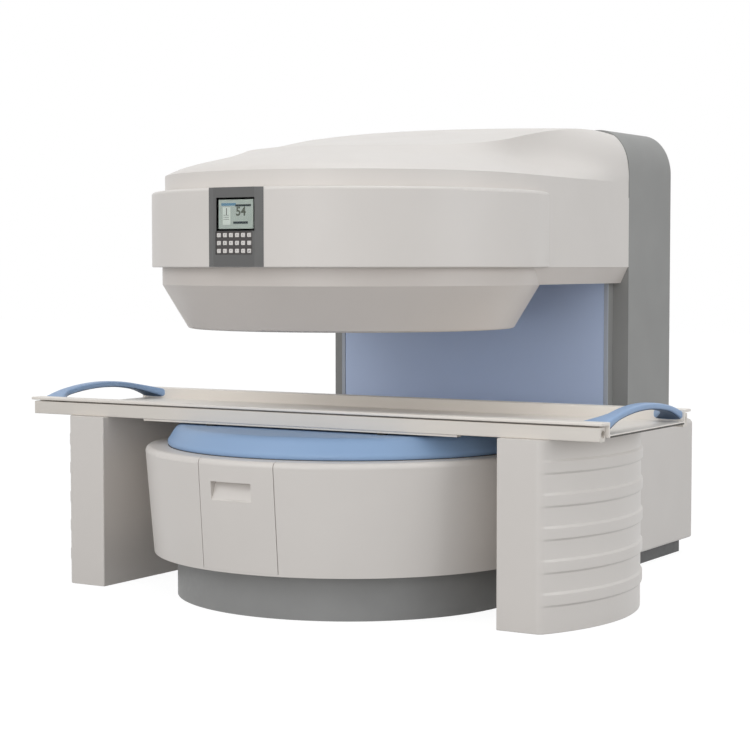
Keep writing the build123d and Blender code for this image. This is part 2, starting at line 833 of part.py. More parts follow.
def upper_pole_body(inset):
    """Cone of the upper pole cover with its shelf to the column, moved inwards by inset."""
    with BuildPart(mode=Mode.PRIVATE) as body:
        with BuildSketch(Plane.XZ):
            with BuildLine():
                Polyline(
                    (0, upper_face_z + inset),
                    (upper_nose_r - inset, upper_face_z + inset),
                    (upper_rim_r - inset, upper_rim_z),
                    (upper_rim_r - inset, band_bottom_z),
                    (0, band_bottom_z),
                    close=True,
                )
            make_face()
        revolve(axis=Axis.Z)
        nose = body.edges().filter_by(GeomType.CIRCLE).group_by(Axis.Z)[0]
        fillet(nose, upper_nose_fillet - inset)
        with BuildSketch(Plane.XZ):
            with BuildLine():
                Polyline(
                    (inset - shelf_bottom_half_w, upper_rim_z + inset),
                    (shelf_bottom_half_w - inset, upper_rim_z + inset),
                    (shelf_top_half_w - inset, band_bottom_z),
                    (inset - shelf_top_half_w, band_bottom_z),
                    close=True,
                )
            make_face()
        extrude(amount=inset + cover_gap - column_front_y)
    return body.part


with BuildPart() as upper_pole_cover:
    add(upper_pole_body(0))
    add(upper_pole_body(pole_cover_wall), mode=Mode.SUBTRACT)
upper_pole_cover.part.label = "upper_pole_cover"
export_step(upper_pole_cover.part, "parts/upper_pole_cover.step")

# Brackets between the yoke and the covers


def bracket_bars(height):
    """Bars that run outwards from the pole axis on both sides of the front."""
    with BuildSketch(Plane.XY.offset(height), mode=Mode.PRIVATE) as bars:
        for angle in bracket_angles:
            for side in (-1, 1):
                with Locations(Rotation(0, 0, side * angle - 90)):
                    Rectangle(2 * base_half_w, bracket_w, align=(Align.MIN, Align.CENTER))
    return bars.sketch


with BuildPart() as lower_brackets:
    add(bracket_bars(bracket_lower_z))
    extrude(amount=bracket_t)
    add(drum_body(drum_wall + bracket_seat_gap), mode=Mode.INTERSECT)
    add(lower_yoke_plate.part, mode=Mode.SUBTRACT)

with BuildPart() as upper_brackets:
    add(bracket_bars(bracket_upper_z))
    extrude(amount=bracket_t)
    with BuildSketch(Plane.XY.offset(bracket_upper_z)):
        seat_inset = housing_wall + bracket_seat_gap
        arch_plan(band_r - seat_inset, column_half_w - seat_inset, column_front_y)
    extrude(amount=bracket_t, mode=Mode.INTERSECT)
    add(upper_yoke_plate.part, mode=Mode.SUBTRACT)

with BuildPart() as cover_brackets:
    add(lower_brackets.part)
    add(upper_brackets.part)
    column_bracket_l = column_back_y - column_wall - bracket_seat_gap - yoke_back_y
    for bracket_z in (bracket_column_low_z, bracket_upper_z):
        with BuildSketch(Plane.XY.offset(bracket_z)):
            with Locations((-bracket_column_x, yoke_back_y), (bracket_column_x, yoke_back_y)):
                Rectangle(bracket_w, column_bracket_l, align=(Align.CENTER, Align.MIN))
        extrude(amount=bracket_t)
cover_brackets.part.label = "cover_brackets"
export_step(cover_brackets.part, "parts/cover_brackets.step")

# Control panel

panel_face_y = -(band_r + panel_proud)
panel_can_back_y = panel_face_y + panel_can_depth
panel_bottom_z = band_bottom_z + panel_bottom_gap
panel_height = band_top_z - panel_top_gap - panel_bottom_z
panel_seat_r = band_r + panel_seat_gap
panel_reach_x = panel_half_w + abs(panel_x)
panel_side_y = -((panel_seat_r**2 - panel_reach_x**2) ** 0.5) - panel_side_t
plate_back_y = panel_face_y + panel_plate_t
shoulder_y = panel_face_y + display_recess + window_t
keypad_face_y = panel_face_y + keypad_recess
key_flange_y = plate_back_y + key_gap
key_stem_end_y = key_flange_y + key_flange_t + key_travel
key_board_y = key_stem_end_y + key_travel + key_board_gap
key_x = [keypad_x + (i - (key_columns - 1) / 2) * key_pitch_x for i in range(key_columns)]
key_z = [keypad_z - (i - (key_rows - 1) / 2) * key_pitch_z for i in range(key_rows)]


def facing_plane(y):
    """Plane across the front of the scanner at this y, facing the operator."""
    return Plane.XZ.offset(-y)


with BuildPart() as control_panel_bezel:
    with BuildSketch(Plane.XY.offset(panel_bottom_z)):
        with BuildLine():
            Polyline(
                (panel_x - panel_face_half_w, panel_face_y),
                (panel_x + panel_face_half_w, panel_face_y),
                (panel_x + panel_half_w, panel_side_y),
                (panel_x + panel_half_w, panel_can_back_y),
                (panel_x - panel_half_w, panel_can_back_y),
                (panel_x - panel_half_w, panel_side_y),
                close=True,
            )
        make_face()
        Circle(panel_seat_r, mode=Mode.SUBTRACT)
    extrude(amount=panel_height)
    with BuildSketch(facing_plane(panel_can_back_y)):
        with Locations((0, can_mid_z)):
            Rectangle(2 * panel_can_half_w, can_h)
    extrude(amount=panel_can_back_y - plate_back_y)
    with BuildSketch(facing_plane(panel_can_back_y)):
        with Locations((0, can_mid_z)):
            Rectangle(
                2 * (panel_can_half_w - panel_can_wall),
                can_h - 2 * panel_can_wall,
            )
    extrude(amount=panel_can_back_y - plate_back_y, mode=Mode.SUBTRACT)
    with BuildSketch(facing_plane(shoulder_y)):
        with Locations((0, display_z)):
            Rectangle(2 * display_half_w, 2 * display_half_h)
    extrude(amount=panel_plate_t, mode=Mode.SUBTRACT)
    with BuildSketch(facing_plane(plate_back_y)):
        with Locations((0, display_z)):
            Rectangle(
                2 * (display_half_w - display_shoulder),
                2 * (display_half_h - display_shoulder),
            )
    extrude(amount=panel_plate_t, mode=Mode.SUBTRACT)
    with BuildSketch(facing_plane(keypad_face_y)):
        with Locations((keypad_x, keypad_z)):
            Rectangle(2 * keypad_half_w, 2 * keypad_half_h)
    extrude(amount=panel_plate_t, mode=Mode.SUBTRACT)
    with BuildSketch(facing_plane(plate_back_y)):
        with Locations((keypad_x, keypad_z)):
            with GridLocations(key_pitch_x, key_pitch_z, key_columns, key_rows):
                Rectangle(key_w + 2 * key_gap, key_h + 2 * key_gap)
    extrude(amount=panel_plate_t, mode=Mode.SUBTRACT)
    with BuildSketch(facing_plane(plate_back_y)):
        with Locations((keypad_x, keypad_z)):
            with GridLocations(2 * keypad_half_w, key_pitch_z, 2, 2):
                Circle(board_post_r)
    extrude(amount=plate_back_y - key_board_y)
control_panel_bezel.part.label = "control_panel_bezel"
export_step(control_panel_bezel.part, "parts/control_panel_bezel.step")

with BuildPart() as display_window:
    with BuildSketch(facing_plane(shoulder_y)):
        with Locations((0, display_z)):
            Rectangle(
                2 * (display_half_w - panel_seat_gap),
                2 * (display_half_h - panel_seat_gap),
            )
    extrude(amount=window_t)
display_window.part.label = "display_window"
export_step(display_window.part, "parts/display_window.step")

with BuildPart() as display_module:
    with BuildSketch(facing_plane(plate_back_y)):
        with Locations((0, display_z)):
            Rectangle(2 * display_half_w, 2 * display_half_h)
    extrude(amount=-display_module_t)
display_module.part.label = "display_module"
export_step(display_module.part, "parts/display_module.step")

with BuildPart() as keypad_board:
    with BuildSketch(facing_plane(key_board_y)):
        with Locations((keypad_x, keypad_z)):
            Rectangle(2 * (keypad_half_w + board_post_r), 2 * keypad_half_h)
    extrude(amount=-key_board_t)
keypad_board.part.label = "keypad_board"
export_step(keypad_board.part, "parts/keypad_board.step")

for row, z in enumerate(key_z, start=1):
    for column, x in enumerate(key_x, start=1):
        with BuildPart() as key:
            with BuildSketch(facing_plane(key_flange_y)):
                with Locations((x, z)):
                    RectangleRounded(key_w, key_h, key_corner_r)
            extrude(amount=key_flange_y - keypad_face_y + key_proud)
            chamfer(key.faces().sort_by(Axis.Y)[0].edges(), key_chamfer)
            with BuildSketch(facing_plane(key_flange_y)):
                with Locations((x, z)):
                    Rectangle(key_w + 2 * key_flange, key_h + 2 * key_flange)
            extrude(amount=-key_flange_t)
            with BuildSketch(facing_plane(key_flange_y + key_flange_t)):
                with Locations((x, z)):
                    RegularPolygon(key_stem_r, key_stem_sides)
            extrude(amount=-key_travel)
        key.part.label = f"key_{row}_{column}"
        export_step(key.part, f"parts/key_{row}_{column}.step")

# Patient table

tray_inner_w = table_half_w - tray_lip_w
tray_outer_w = tray_inner_w + tray_wall_t
tray_lip_z = tray_top_z - tray_lip_t
rail_outer_w = table_half_w - rail_set_back
rail_inner_w = rail_outer_w - rail_w
groove_w = rail_inner_w + rail_groove_r + rail_lip_t
cross_plane = Plane((0, table_mid_y, 0), x_dir=(0, 1, 0), z_dir=(1, 0, 0))

with BuildPart() as tabletop:
    with BuildSketch(cross_plane.offset(-table_length / 2)) as tray_section:
        with BuildLine():
            Polyline(
                (0, tray_bottom_z),
                (tray_outer_w, tray_bottom_z),
                (tray_outer_w, tray_lip_z),
                (table_half_w, tray_lip_z),
                (table_half_w, tray_top_z),
                (tray_inner_w, tray_top_z),
                (tray_inner_w, tray_bottom_z + tray_floor_t),
                (0, tray_bottom_z + tray_floor_t),
                close=True,
            )
        make_face()
        fillet(tray_section.vertices().group_by(Axis.X)[1:], tray_edge_r)
        mirror(about=Plane.YZ)
    extrude(amount=table_length)
tabletop.part.label = "tabletop"
export_step(tabletop.part, "parts/tabletop.step")

with BuildPart() as rear_rail:
    with BuildSketch(cross_plane.offset(-rail_length / 2)) as rail_section:
        rail_mid_w = (rail_inner_w + rail_outer_w) / 2
        with Locations((rail_mid_w, rail_bottom_z + rail_h / 2)):
            RectangleRounded(rail_w, rail_h, rail_corner_r)
        with Locations((groove_w, rail_groove_z)):
            Circle(rail_groove_r, mode=Mode.SUBTRACT)
            Rectangle(
                2 * rail_groove_r + 2 * rail_lip_t,
                rail_slot_h,
                align=(Align.MAX, Align.CENTER),
                mode=Mode.SUBTRACT,
            )
    extrude(amount=rail_length)
rear_rail.part.label = "rear_rail"
export_step(rear_rail.part, "parts/rear_rail.step")

table_mid_plane = Plane.XZ.offset(-table_mid_y)
with BuildPart() as front_rail:
    mirror(rear_rail.part, about=table_mid_plane)
front_rail.part.label = "front_rail"
export_step(front_rail.part, "parts/front_rail.step")

with BuildPart() as glide_shoes:
    for x in glide_x:
        with BuildSketch(cross_plane.offset(x - glide_length / 2)):
            with Locations((groove_w, rail_groove_z)):
                Circle(rail_groove_r - glide_clearance)
            with Locations((tray_outer_w, rail_groove_z)):
                Rectangle(
                    groove_w - tray_outer_w,
                    rail_slot_h - 2 * glide_clearance,
                    align=(Align.MIN, Align.CENTER),
                )
                Rectangle(glide_plate_t, glide_plate_h, align=(Align.MIN, Align.CENTER))
        extrude(amount=glide_length)
    mirror(about=table_mid_plane)
glide_shoes.part.label = "glide_shoes"
export_step(glide_shoes.part, "parts/glide_shoes.step")

with BuildPart() as rail_ties:
    tie_mid_x = (pedestal_inner_x + pedestal_outer_x) / 2
    with BuildSketch(Plane.XY.offset(rail_bottom_z)):
        for side in (-1, 1):
            with Locations((side * tie_mid_x, table_mid_y)):
                with GridLocations(tie_pitch, 0, 2, 1):
                    Rectangle(tie_w, 2 * rail_inner_w)
    extrude(amount=tie_h)
rail_ties.part.label = "rail_ties"
export_step(rail_ties.part, "parts/rail_ties.step")

with BuildPart() as rail_sills:
    with BuildSketch(Plane.XY.offset(rail_bottom_z)):
        for side in (-1, 1):
            with Locations((0, table_mid_y + side * (rail_inner_w + rail_outer_w) / 2)):
                Rectangle(2 * sill_half_length, rail_w - 2 * sill_set_back)
    extrude(amount=-sill_h)
rail_sills.part.label = "rail_sills"
export_step(rail_sills.part, "parts/rail_sills.step")

with BuildPart() as table_pads:
    with BuildSketch(Plane.XY.offset(lower_face_z)):
        for side in (-1, 1):
            with Locations((0, table_mid_y + side * (rail_inner_w + rail_outer_w) / 2)):
                with GridLocations(2 * pad_x, 0, 2, 1):
                    Circle(pad_r)
    extrude(amount=rail_bottom_z - sill_h - lower_face_z)
table_pads.part.label = "table_pads"
export_step(table_pads.part, "parts/table_pads.step")

with BuildPart() as right_handle:
    handle_x = table_length / 2 - handle_inset
    foot_reach = tray_inner_w - handle_foot_t / 2
    foot_base_z = tray_bottom_z + tray_floor_t + handle_foot_clear
    with BuildLine(cross_plane.offset(handle_x - handle_grip_w / 2)) as arch:
        ThreePointArc(
            (-foot_reach, handle_shoulder_z - handle_t / 2),
            (0, handle_crest_z - handle_t / 2),
            (foot_reach, handle_shoulder_z - handle_t / 2),
        )
    with BuildSketch(Plane(arch.line @ 0, x_dir=(1, 0, 0), z_dir=arch.line % 0)):
        RectangleRounded(handle_grip_w, handle_t, handle_edge_r)
    sweep(path=arch.line)
    for side in (-1, 1):
        with BuildSketch(facing_plane(table_mid_y + side * tray_inner_w)):
            with BuildLine():
                Polyline(
                    (handle_x, foot_base_z),
                    (handle_x, tray_top_z - tray_edge_r),
                    (handle_x - handle_foot_tail, tray_top_z - tray_edge_r),
                    (handle_x - handle_foot_tail, foot_base_z + handle_foot_t),
                    (handle_x - handle_grip_w, foot_base_z),
                    close=True,
                )
            make_face()
        extrude(amount=side * handle_foot_t)
right_handle.part.label = "right_handle"
export_step(right_handle.part, "parts/right_handle.step")

with BuildPart() as left_handle:
    mirror(right_handle.part, about=Plane.YZ)
left_handle.part.label = "left_handle"
export_step(left_handle.part, "parts/left_handle.step")

# Pedestals


def pedestal_bulge_arc(inset):
    """Outer side of the right pedestal, moved inwards. Drawn in the open line builder."""
    return ThreePointArc(
        (pedestal_corner_x - inset, pedestal_front_y + inset),
        (pedestal_outer_x - inset, table_mid_y),
        (pedestal_corner_x - inset, pedestal_back_y - inset),
    )


def pedestal_plan(inset):
    """Outline of the right pedestal, moved inwards: flat to the magnet, bulging outwards."""
    inner_x = pedestal_inner_x + inset
    with BuildSketch(mode=Mode.PRIVATE) as plan:
        with BuildLine():
            bulge = pedestal_bulge_arc(inset)
            Polyline(
                bulge @ 1,
                (inner_x, pedestal_back_y - inset),
                (inner_x, pedestal_front_y + inset),
                bulge @ 0,
            )
        make_face()
        fillet(plan.vertices().group_by(Axis.X)[-1], pedestal_corner_r - inset)
    return plan.sketch


def rib_plan(height, proud):
    """Curved strip that stands proud of the pedestal's bulge at this height."""
    with BuildSketch(Plane.XY.offset(height), mode=Mode.PRIVATE) as plan:
        with BuildLine():
            face = pedestal_bulge_arc(-proud)
            root = pedestal_bulge_arc(rib_root)
            Line(face @ 0, root @ 0)
            Line(face @ 1, root @ 1)
        make_face()
        with Locations((pedestal_outer_x, table_mid_y)):
            Rectangle(
                2 * pedestal_w,
                2 * (pedestal_half_depth - rib_end_in),
                mode=Mode.INTERSECT,
            )
    return plan.sketch


with BuildPart() as right_pedestal_cover:
    add(pedestal_plan(0))
    extrude(amount=rail_bottom_z)
    for i in range(rib_count):
        rib_z = rib_first_z + i * rib_pitch
        for lower, upper in (
            ((0, 0), (rib_slope_h, rib_proud)),
            ((rib_slope_h, rib_proud), (rib_h - rib_slope_h, rib_proud)),
            ((rib_h - rib_slope_h, rib_proud), (rib_h, 0)),
        ):
            add(rib_plan(rib_z + lower[0], lower[1]))
            add(rib_plan(rib_z + upper[0], upper[1]))
            loft(ruled=True)
    add(pedestal_plan(pedestal_wall))
    extrude(amount=rail_bottom_z - pedestal_wall, mode=Mode.SUBTRACT)
right_pedestal_cover.part.label = "right_pedestal_cover"
export_step(right_pedestal_cover.part, "parts/right_pedestal_cover.step")

with BuildPart() as right_pedestal_frame:
    frame_x = (pedestal_inner_x + pedestal_corner_x) / 2
    frame_y = table_mid_y
    frame_top_z = rail_bottom_z - pedestal_wall
    for plate_z in (0, frame_top_z - frame_plate_t):
        with BuildSketch(Plane.XY.offset(plate_z)):
            with Locations((frame_x, frame_y)):
                Rectangle(frame_plate_w, frame_plate_l)
        extrude(amount=frame_plate_t)
    with BuildSketch(Plane.XY.offset(frame_plate_t)):
        with Locations((frame_x, frame_y - frame_post_y), (frame_x, frame_y + frame_post_y)):
            Rectangle(frame_tube, frame_tube)
            Rectangle(
                frame_tube - 2 * frame_tube_wall,
                frame_tube - 2 * frame_tube_wall,
                mode=Mode.SUBTRACT,
            )
    extrude(amount=frame_top_z - 2 * frame_plate_t)
    with Locations((frame_x, frame_y, 0)):
        with GridLocations(anchor_pitch_x, anchor_pitch_y, 2, 2):
            Cylinder(
                anchor_hole_r,
                frame_plate_t,
                align=(Align.CENTER, Align.CENTER, Align.MIN),
                mode=Mode.SUBTRACT,
            )
right_pedestal_frame.part.label = "right_pedestal_frame"
export_step(right_pedestal_frame.part, "parts/right_pedestal_frame.step")

for right_piece in (right_pedestal_cover, right_pedestal_frame):
    with BuildPart() as left_piece:
        mirror(right_piece.part, about=Plane.YZ)
    left_piece.part.label = right_piece.part.label.replace("right", "left")
    export_step(left_piece.part, f"parts/{left_piece.part.label}.step")
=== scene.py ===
import json
import math

import bmesh
import bpy
from bpy.props import FloatProperty, FloatVectorProperty, IntProperty, PointerProperty
from mathutils import Euler, Matrix, Vector


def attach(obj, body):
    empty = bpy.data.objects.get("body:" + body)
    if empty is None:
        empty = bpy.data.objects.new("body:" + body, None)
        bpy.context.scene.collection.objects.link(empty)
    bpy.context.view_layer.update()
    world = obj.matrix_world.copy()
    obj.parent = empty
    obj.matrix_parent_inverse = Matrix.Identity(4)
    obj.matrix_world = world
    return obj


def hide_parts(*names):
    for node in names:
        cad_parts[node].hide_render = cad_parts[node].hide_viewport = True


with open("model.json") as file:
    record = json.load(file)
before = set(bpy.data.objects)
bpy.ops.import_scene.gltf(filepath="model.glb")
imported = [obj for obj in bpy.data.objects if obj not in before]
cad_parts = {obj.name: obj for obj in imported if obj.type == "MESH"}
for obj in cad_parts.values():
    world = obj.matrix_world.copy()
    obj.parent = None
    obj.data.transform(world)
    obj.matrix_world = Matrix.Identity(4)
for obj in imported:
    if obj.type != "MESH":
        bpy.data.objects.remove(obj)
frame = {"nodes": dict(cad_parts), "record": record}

bl_info = {
    "name": "Open MRI scanner",
    "version": (1, 0, 0),
    "blender": (4, 5, 0),
    "location": "3D View > Sidebar > Scanner",
    "description": "Finishes the covers, table and control panel of an open MRI scanner",
    "category": "Object",
}

RECORD = frame["record"]
BODY_OF = {n: body for body, nodes in RECORD["behaviour"]["bodies"].items() for n in nodes}
SLOT_OF = {row["node"]: row["material_slot"] for row in RECORD["subparts"]}

# CAD pieces that only get a finish
COVER_NODES = (
    "upper_housing_cover",
    "upper_pole_cover",
    "lower_pole_cover",
    "lower_drum_cover",
    "access_panel",
    "rear_base_cover",
    "column_cover",
    "column_front_panel",
    "round_plinth",
    "rear_plinth",
    "panel_edge_trims",
)
INNER_SLOTS = (
    "yoke_iron",
    "bolt_steel",
    "magnet_block",
    "pole_iron",
    "coil_resin",
    "foot_steel",
    "bracket_steel",
    "frame_steel",
)

# Most of a noise texture's values lie between these two
NOISE_LOW = 0.3
NOISE_HIGH = 0.7

# Mesh work, in metres and degrees
MERGE_DISTANCE = 1e-5
FLAT_DEG = 0.4
CREASE_DEG = 50
EDGE_SEGMENTS = 3
TABLE_SHARP_DEG = 40
KEY_SHARP_DEG = 32

# Plan of the pedestals, in metres. They share their middle line with the table.
TABLE_MID_Y = -0.036
PEDESTAL_INNER_X = 0.960
PEDESTAL_CORNER_X = 1.147
PEDESTAL_OUTER_X = 1.280
PEDESTAL_FRONT_Y = -0.495
PEDESTAL_INNER_R = 0.006
PEDESTAL_CORNER_R = 0.04
PEDESTAL_EDGE = 0.002
INNER_CORNER_STEPS = 4
OUTER_CORNER_STEPS = 10
BULGE_STEPS = 56

# Ribs of the pedestals, in metres. The profile gives the share of the slope's height and, for
# each, the share of the rib's depth.
RIB_FIRST_Z = 0.099
RIB_PITCH = 0.1265
RIB_SLOPE = 0.012
RIB_RUN_OUT = 0.09
RIB_PROFILE = ((0, 0), (0.2, 0.08), (0.5, 0.5), (0.8, 0.92), (1, 1))

# Push bars and the dark sheet of painted shade under them, in metres. The roots widen from a share
# of the reach outwards.
SQUARENESS = 3.6
BAR_OUTER_X = 1.380
BAR_REACH = 0.362
BAR_CREST_Z = 0.858
BAR_SHOULDER_Z = 0.811
BAR_ROOT_WIDER = 0.070
BAR_ROOT_THICKER = 0.016
BAR_ROOT_FROM = 0.66
BAR_ROOT_EASE = 1.6
BAR_STEPS = 40
BAR_POINTS = 36
PAINTED_SHADE_IN = 0.005
PAINTED_SHADE_T = 0.003
PAINTED_SHADE_POINTS = 16

# Dark strips along the lower edge of the tabletop's ends, in metres. The profile gives the share
# of the strip's half length and, for each, the share of its full section.
STRIP_Z = 0.7545
STRIP_HALF_H = 0.0035
STRIP_OUT = 0.0015
STRIP_POINTS = 16
STRIP_PROFILE = ((-1, 0.3), (-0.995, 0.8), (-0.98, 1), (0.98, 1), (0.995, 0.8), (1, 0.3))

# Dark ring of painted shade round the front of the lower pole cover's foot, in metres and degrees
SHADE_RING_RADIUS = 0.780
SHADE_RING_Z = 0.636
SHADE_RING_HALF_W = 0.003
SHADE_RING_HALF_H = 0.0015
SHADE_RING_FROM_DEG = -190
SHADE_RING_TO_DEG = 10
SHADE_RING_STEP_DEG = 2
SHADE_RING_POINTS = 12

# Control panel, in metres
DISPLAY_SHOULDER = 0.008
PICTURE_STEP = 0.0001
KEY_FLANGE = 0.0015
KEY_GAP = 0.0005
KEY_PROUD = 0.0025
SHEET_T = 0.0004
SHEET_BORDER = 0.005
LEGEND_HEIGHT = 0.011
LEGENDS = ("123456", "7890+-", "<>^*=#")

# Screws at the back: piece, its cover, columns, rows, then the margins at the sides, below
# and above, in metres
SCREW_ROWS = (
    ("column_screws", "column_cover", 2, 6, 0.03, 0.06, 0.22),
    ("base_screws", "rear_base_cover", 6, 2, 0.06, 0.05, 0.06),
)
SCREW_SIDES = 24
SCREW_SOCKET_WIDTH = 0.5
SCREW_SOCKET_DEPTH = 0.6

# Stage: the camera in metres, degrees and millimetres, the floor's tones and the light's colours
CAMERA_PLACE = (4.341, -6.946, 1.396)
CAMERA_TILT_DEG = 86.7179
CAMERA_TURN_DEG = 31.3003
CAMERA_LENS_MM = 91.94
CAMERA_SENSOR_MM = 36.0
CAMERA_FAR = 200.0
FLOOR_GREY = 0.28
FLOOR_ROUGHNESS = 0.9
FLOOR_GLOW = 0.93
FLOOR_SHADOW = 0.16
PLAIN_LIGHT = (1.0, 1.0, 1.0)
COOL_LIGHT = (0.96, 0.98, 1.0)
COOLER_LIGHT = (0.95, 0.98, 1.0)
AMBIENT_LIGHT = (0.985, 0.99, 1.0)


def srgb(red, green, blue):
    """Linear colour of a 0 to 255 screen colour."""

    def linear(value):
        value /= 255
        return value / 12.92 if value <= 0.04045 else ((value + 0.055) / 1.055) ** 2.4

    return (linear(red), linear(green), linear(blue))


# Picture of the display. Each field has its colour and its share of the picture from the
# left and from the bottom; each figure its height, its centre and its extra weight.
PICTURE_COLOURS = {
    "ground": srgb(154, 161, 155),
    "pale": srgb(190, 195, 189),
    "blue": srgb(78, 116, 142),
    "dark": srgb(26, 38, 44),
    "ink": srgb(74, 78, 68),
}
PICTURE_FIELDS = (
    ("ground", 0.0, 1.0, 0.0, 1.0),
    ("pale", 0.12, 0.34, 0.14, 0.74),
    ("blue", 0.08, 0.50, 0.79, 0.88),
    ("dark", 0.48, 0.93, 0.76, 0.83),
    ("dark", 0.42, 0.84, 0.17, 0.25),
)
PICTURE_FIGURES = (("54", 0.42, 0.64, 0.58, 0.0012), ("1", 0.34, 0.23, 0.58, 0.0))
PICTURE_LINES = (0.32, 0.39, 0.46)
PICTURE_LINE_LEFT = 0.14
PICTURE_LINE_RIGHT = 0.30
PICTURE_LINE_HEIGHT = 0.015


# Colours, sizes and lamps that a user would change


def colour_property(name, description, red, green, blue):
    return FloatVectorProperty(
        name=name,
        description=description,
        default=srgb(red, green, blue),
        subtype="COLOR",
        size=3,
        min=0,
        max=1,
    )


def length_property(name, description, default):
    return FloatProperty(
        name=name, description=description, default=default, min=0, unit="LENGTH"
    )


def power_property(name, description, default):
    return FloatProperty(name=name, description=description, default=default, min=0, unit="POWER")


class ScannerFinish(bpy.types.PropertyGroup):
    """Colours of the paints and mouldings"""

    cover_white: colour_property("Cover white", "Paint of the covers", 221, 216, 211)
    pole_white: colour_property("Pole white", "Paint of the upper pole's cover", 207, 200, 194)
    table_white: colour_property("Table white", "Paint of the tabletop", 238, 232, 224)
    pole_blue: colour_property("Pole blue", "Paint of the lower pole's cover", 143, 172, 208)
    handle_blue: colour_property("Handle blue", "Moulding of the push bars", 140, 168, 204)
    panel_blue: colour_property("Panel blue", "Paint of the column's front", 194, 210, 240)
    column_grey: colour_property("Column grey", "Paint of the column", 146, 146, 144)
    plinth_grey: colour_property("Plinth grey", "Round plinth", 146, 146, 145)
    dark_grey: colour_property("Dark grey", "Rear plinth", 88, 88, 88)
    bezel_grey: colour_property("Bezel grey", "Control panel", 94, 94, 93)
    rail_cream: colour_property("Rail cream", "Rails under the table", 224, 218, 210)


class ScannerSizes(bpy.types.PropertyGroup):
    """Sizes of the mouldings, edges and screws"""

    rib_count: IntProperty(
        name="Ribs", description="Ribs on each pedestal", default=5, min=0, max=5
    )
    rib_height: length_property("Rib height", "Height of a pedestal's rib", 0.060)
    rib_depth: length_property("Rib depth", "How far a pedestal's rib stands out", 0.008)
    pedestal_wall: length_property("Pedestal wall", "Wall of the pedestals' mouldings", 0.008)
    bar_width: length_property("Bar width", "Width of a push bar at its crest", 0.056)
    bar_thickness: length_property("Bar thickness", "Thickness of a push bar", 0.026)
    table_edge: length_property("Table edge", "Rounding of the tabletop and its rails", 0.0015)
    key_edge: length_property("Key edge", "Rounding of the keys", 0.0004)
    screw_radius: length_property("Screw radius", "Radius of a screw's head", 0.007)
    screw_height: length_property("Screw height", "Height of a screw's head", 0.003)


class ScannerStage(bpy.types.PropertyGroup):
    """Lamps and floor"""

    key_power: power_property("Key light", "Power of the key light", 115)
    fill_power: power_property("Fill light", "Power of the fill light", 112)
    front_power: power_property("Front light", "Power of the front light", 112)
    top_power: power_property("Top light", "Power of the top light", 70)
    ambient: FloatProperty(
        name="Ambient", description="Strength of the light from all round", default=0.57, min=0
    )
    floor_size: length_property("Floor", "Side of the floor", 60.0)


# Materials


def new_material(name):
    """Material with nothing but a Principled shader, with its tree and that shader."""
    material = bpy.data.materials.new(name)
    material.use_nodes = True
    tree = material.node_tree
    tree.nodes.clear()
    shader = tree.nodes.new("ShaderNodeBsdfPrincipled")
    output = tree.nodes.new("ShaderNodeOutputMaterial")
    tree.links.new(shader.outputs["BSDF"], output.inputs["Surface"])
    return material, tree, shader


def noise(tree, scale, detail, stretch=None):
    """Noise on Object coordinates, drawn out along the axes where a stretch is given."""
    vector = tree.nodes.new("ShaderNodeTexCoord").outputs["Object"]
    if stretch:
        mapping = tree.nodes.new("ShaderNodeMapping")
        mapping.inputs["Scale"].default_value = stretch
        tree.links.new(vector, mapping.inputs["Vector"])
        vector = mapping.outputs["Vector"]
    texture = tree.nodes.new("ShaderNodeTexNoise")
    texture.inputs["Scale"].default_value = scale
    texture.inputs["Detail"].default_value = detail
    tree.links.new(vector, texture.inputs["Vector"])
    return texture.outputs["Fac"]


def spread_to(tree, value, low, high):
    """A noise's value, spread over low to high."""
    node = tree.nodes.new("ShaderNodeMapRange")
    tree.links.new(value, node.inputs["Value"])
    node.inputs["From Min"].default_value = NOISE_LOW
    node.inputs["From Max"].default_value = NOISE_HIGH
    node.inputs["To Min"].default_value = low
    node.inputs["To Max"].default_value = high
    return node.outputs["Result"]


def mottled(tree, shader, colour, scale, spread):
    """Base colour that drifts a little darker and lighter over the surface."""
    mix = tree.nodes.new("ShaderNodeMix")
    mix.data_type = "RGBA"
    mix.inputs["A"].default_value = tuple(c * (1 - spread) for c in colour) + (1,)
    mix.inputs["B"].default_value = tuple(min(1, c * (1 + spread)) for c in colour) + (1,)
    tree.links.new(spread_to(tree, noise(tree, scale, 4), 0, 1), mix.inputs["Factor"])
    tree.links.new(mix.outputs["Result"], shader.inputs["Base Color"])


def uneven_gloss(tree, shader, value, low, high):
    """Roughness that follows a noise between two values."""
    tree.links.new(spread_to(tree, value, low, high), shader.inputs["Roughness"])


def bumped(tree, shader, value, strength, distance):
    """Fine relief that follows a noise, no deeper than the distance in metres."""
    bump = tree.nodes.new("ShaderNodeBump")
    bump.inputs["Strength"].default_value = strength
    bump.inputs["Distance"].default_value = distance
    tree.links.new(value, bump.inputs["Height"])
    tree.links.new(bump.outputs["Normal"], shader.inputs["Normal"])


def paint(name, colour, roughness=0.42, peel=260.0, depth=0.00025):
    """Sprayed paint: fine orange peel, a faint drift of tone and of gloss."""
    material, tree, shader = new_material(name)
    mottled(tree, shader, colour, 2.3, 0.018)
    uneven_gloss(tree, shader, noise(tree, 5.0, 3), roughness - 0.04, roughness + 0.05)
    shader.inputs["IOR"].default_value = 1.46
    bumped(tree, shader, noise(tree, peel, 2), 0.35, depth)
    return material


def plastic(name, colour, roughness=0.55, grain=900.0, depth=0.0002, spread=0.03):
    """Moulded plastic or rubber with a spark-eroded grain."""
    material, tree, shader = new_material(name)
    mottled(tree, shader, colour, 9.0, spread)
    uneven_gloss(tree, shader, noise(tree, 40.0, 3), roughness - 0.05, roughness + 0.06)
    bumped(tree, shader, noise(tree, grain, 3), 0.5, depth)
    return material


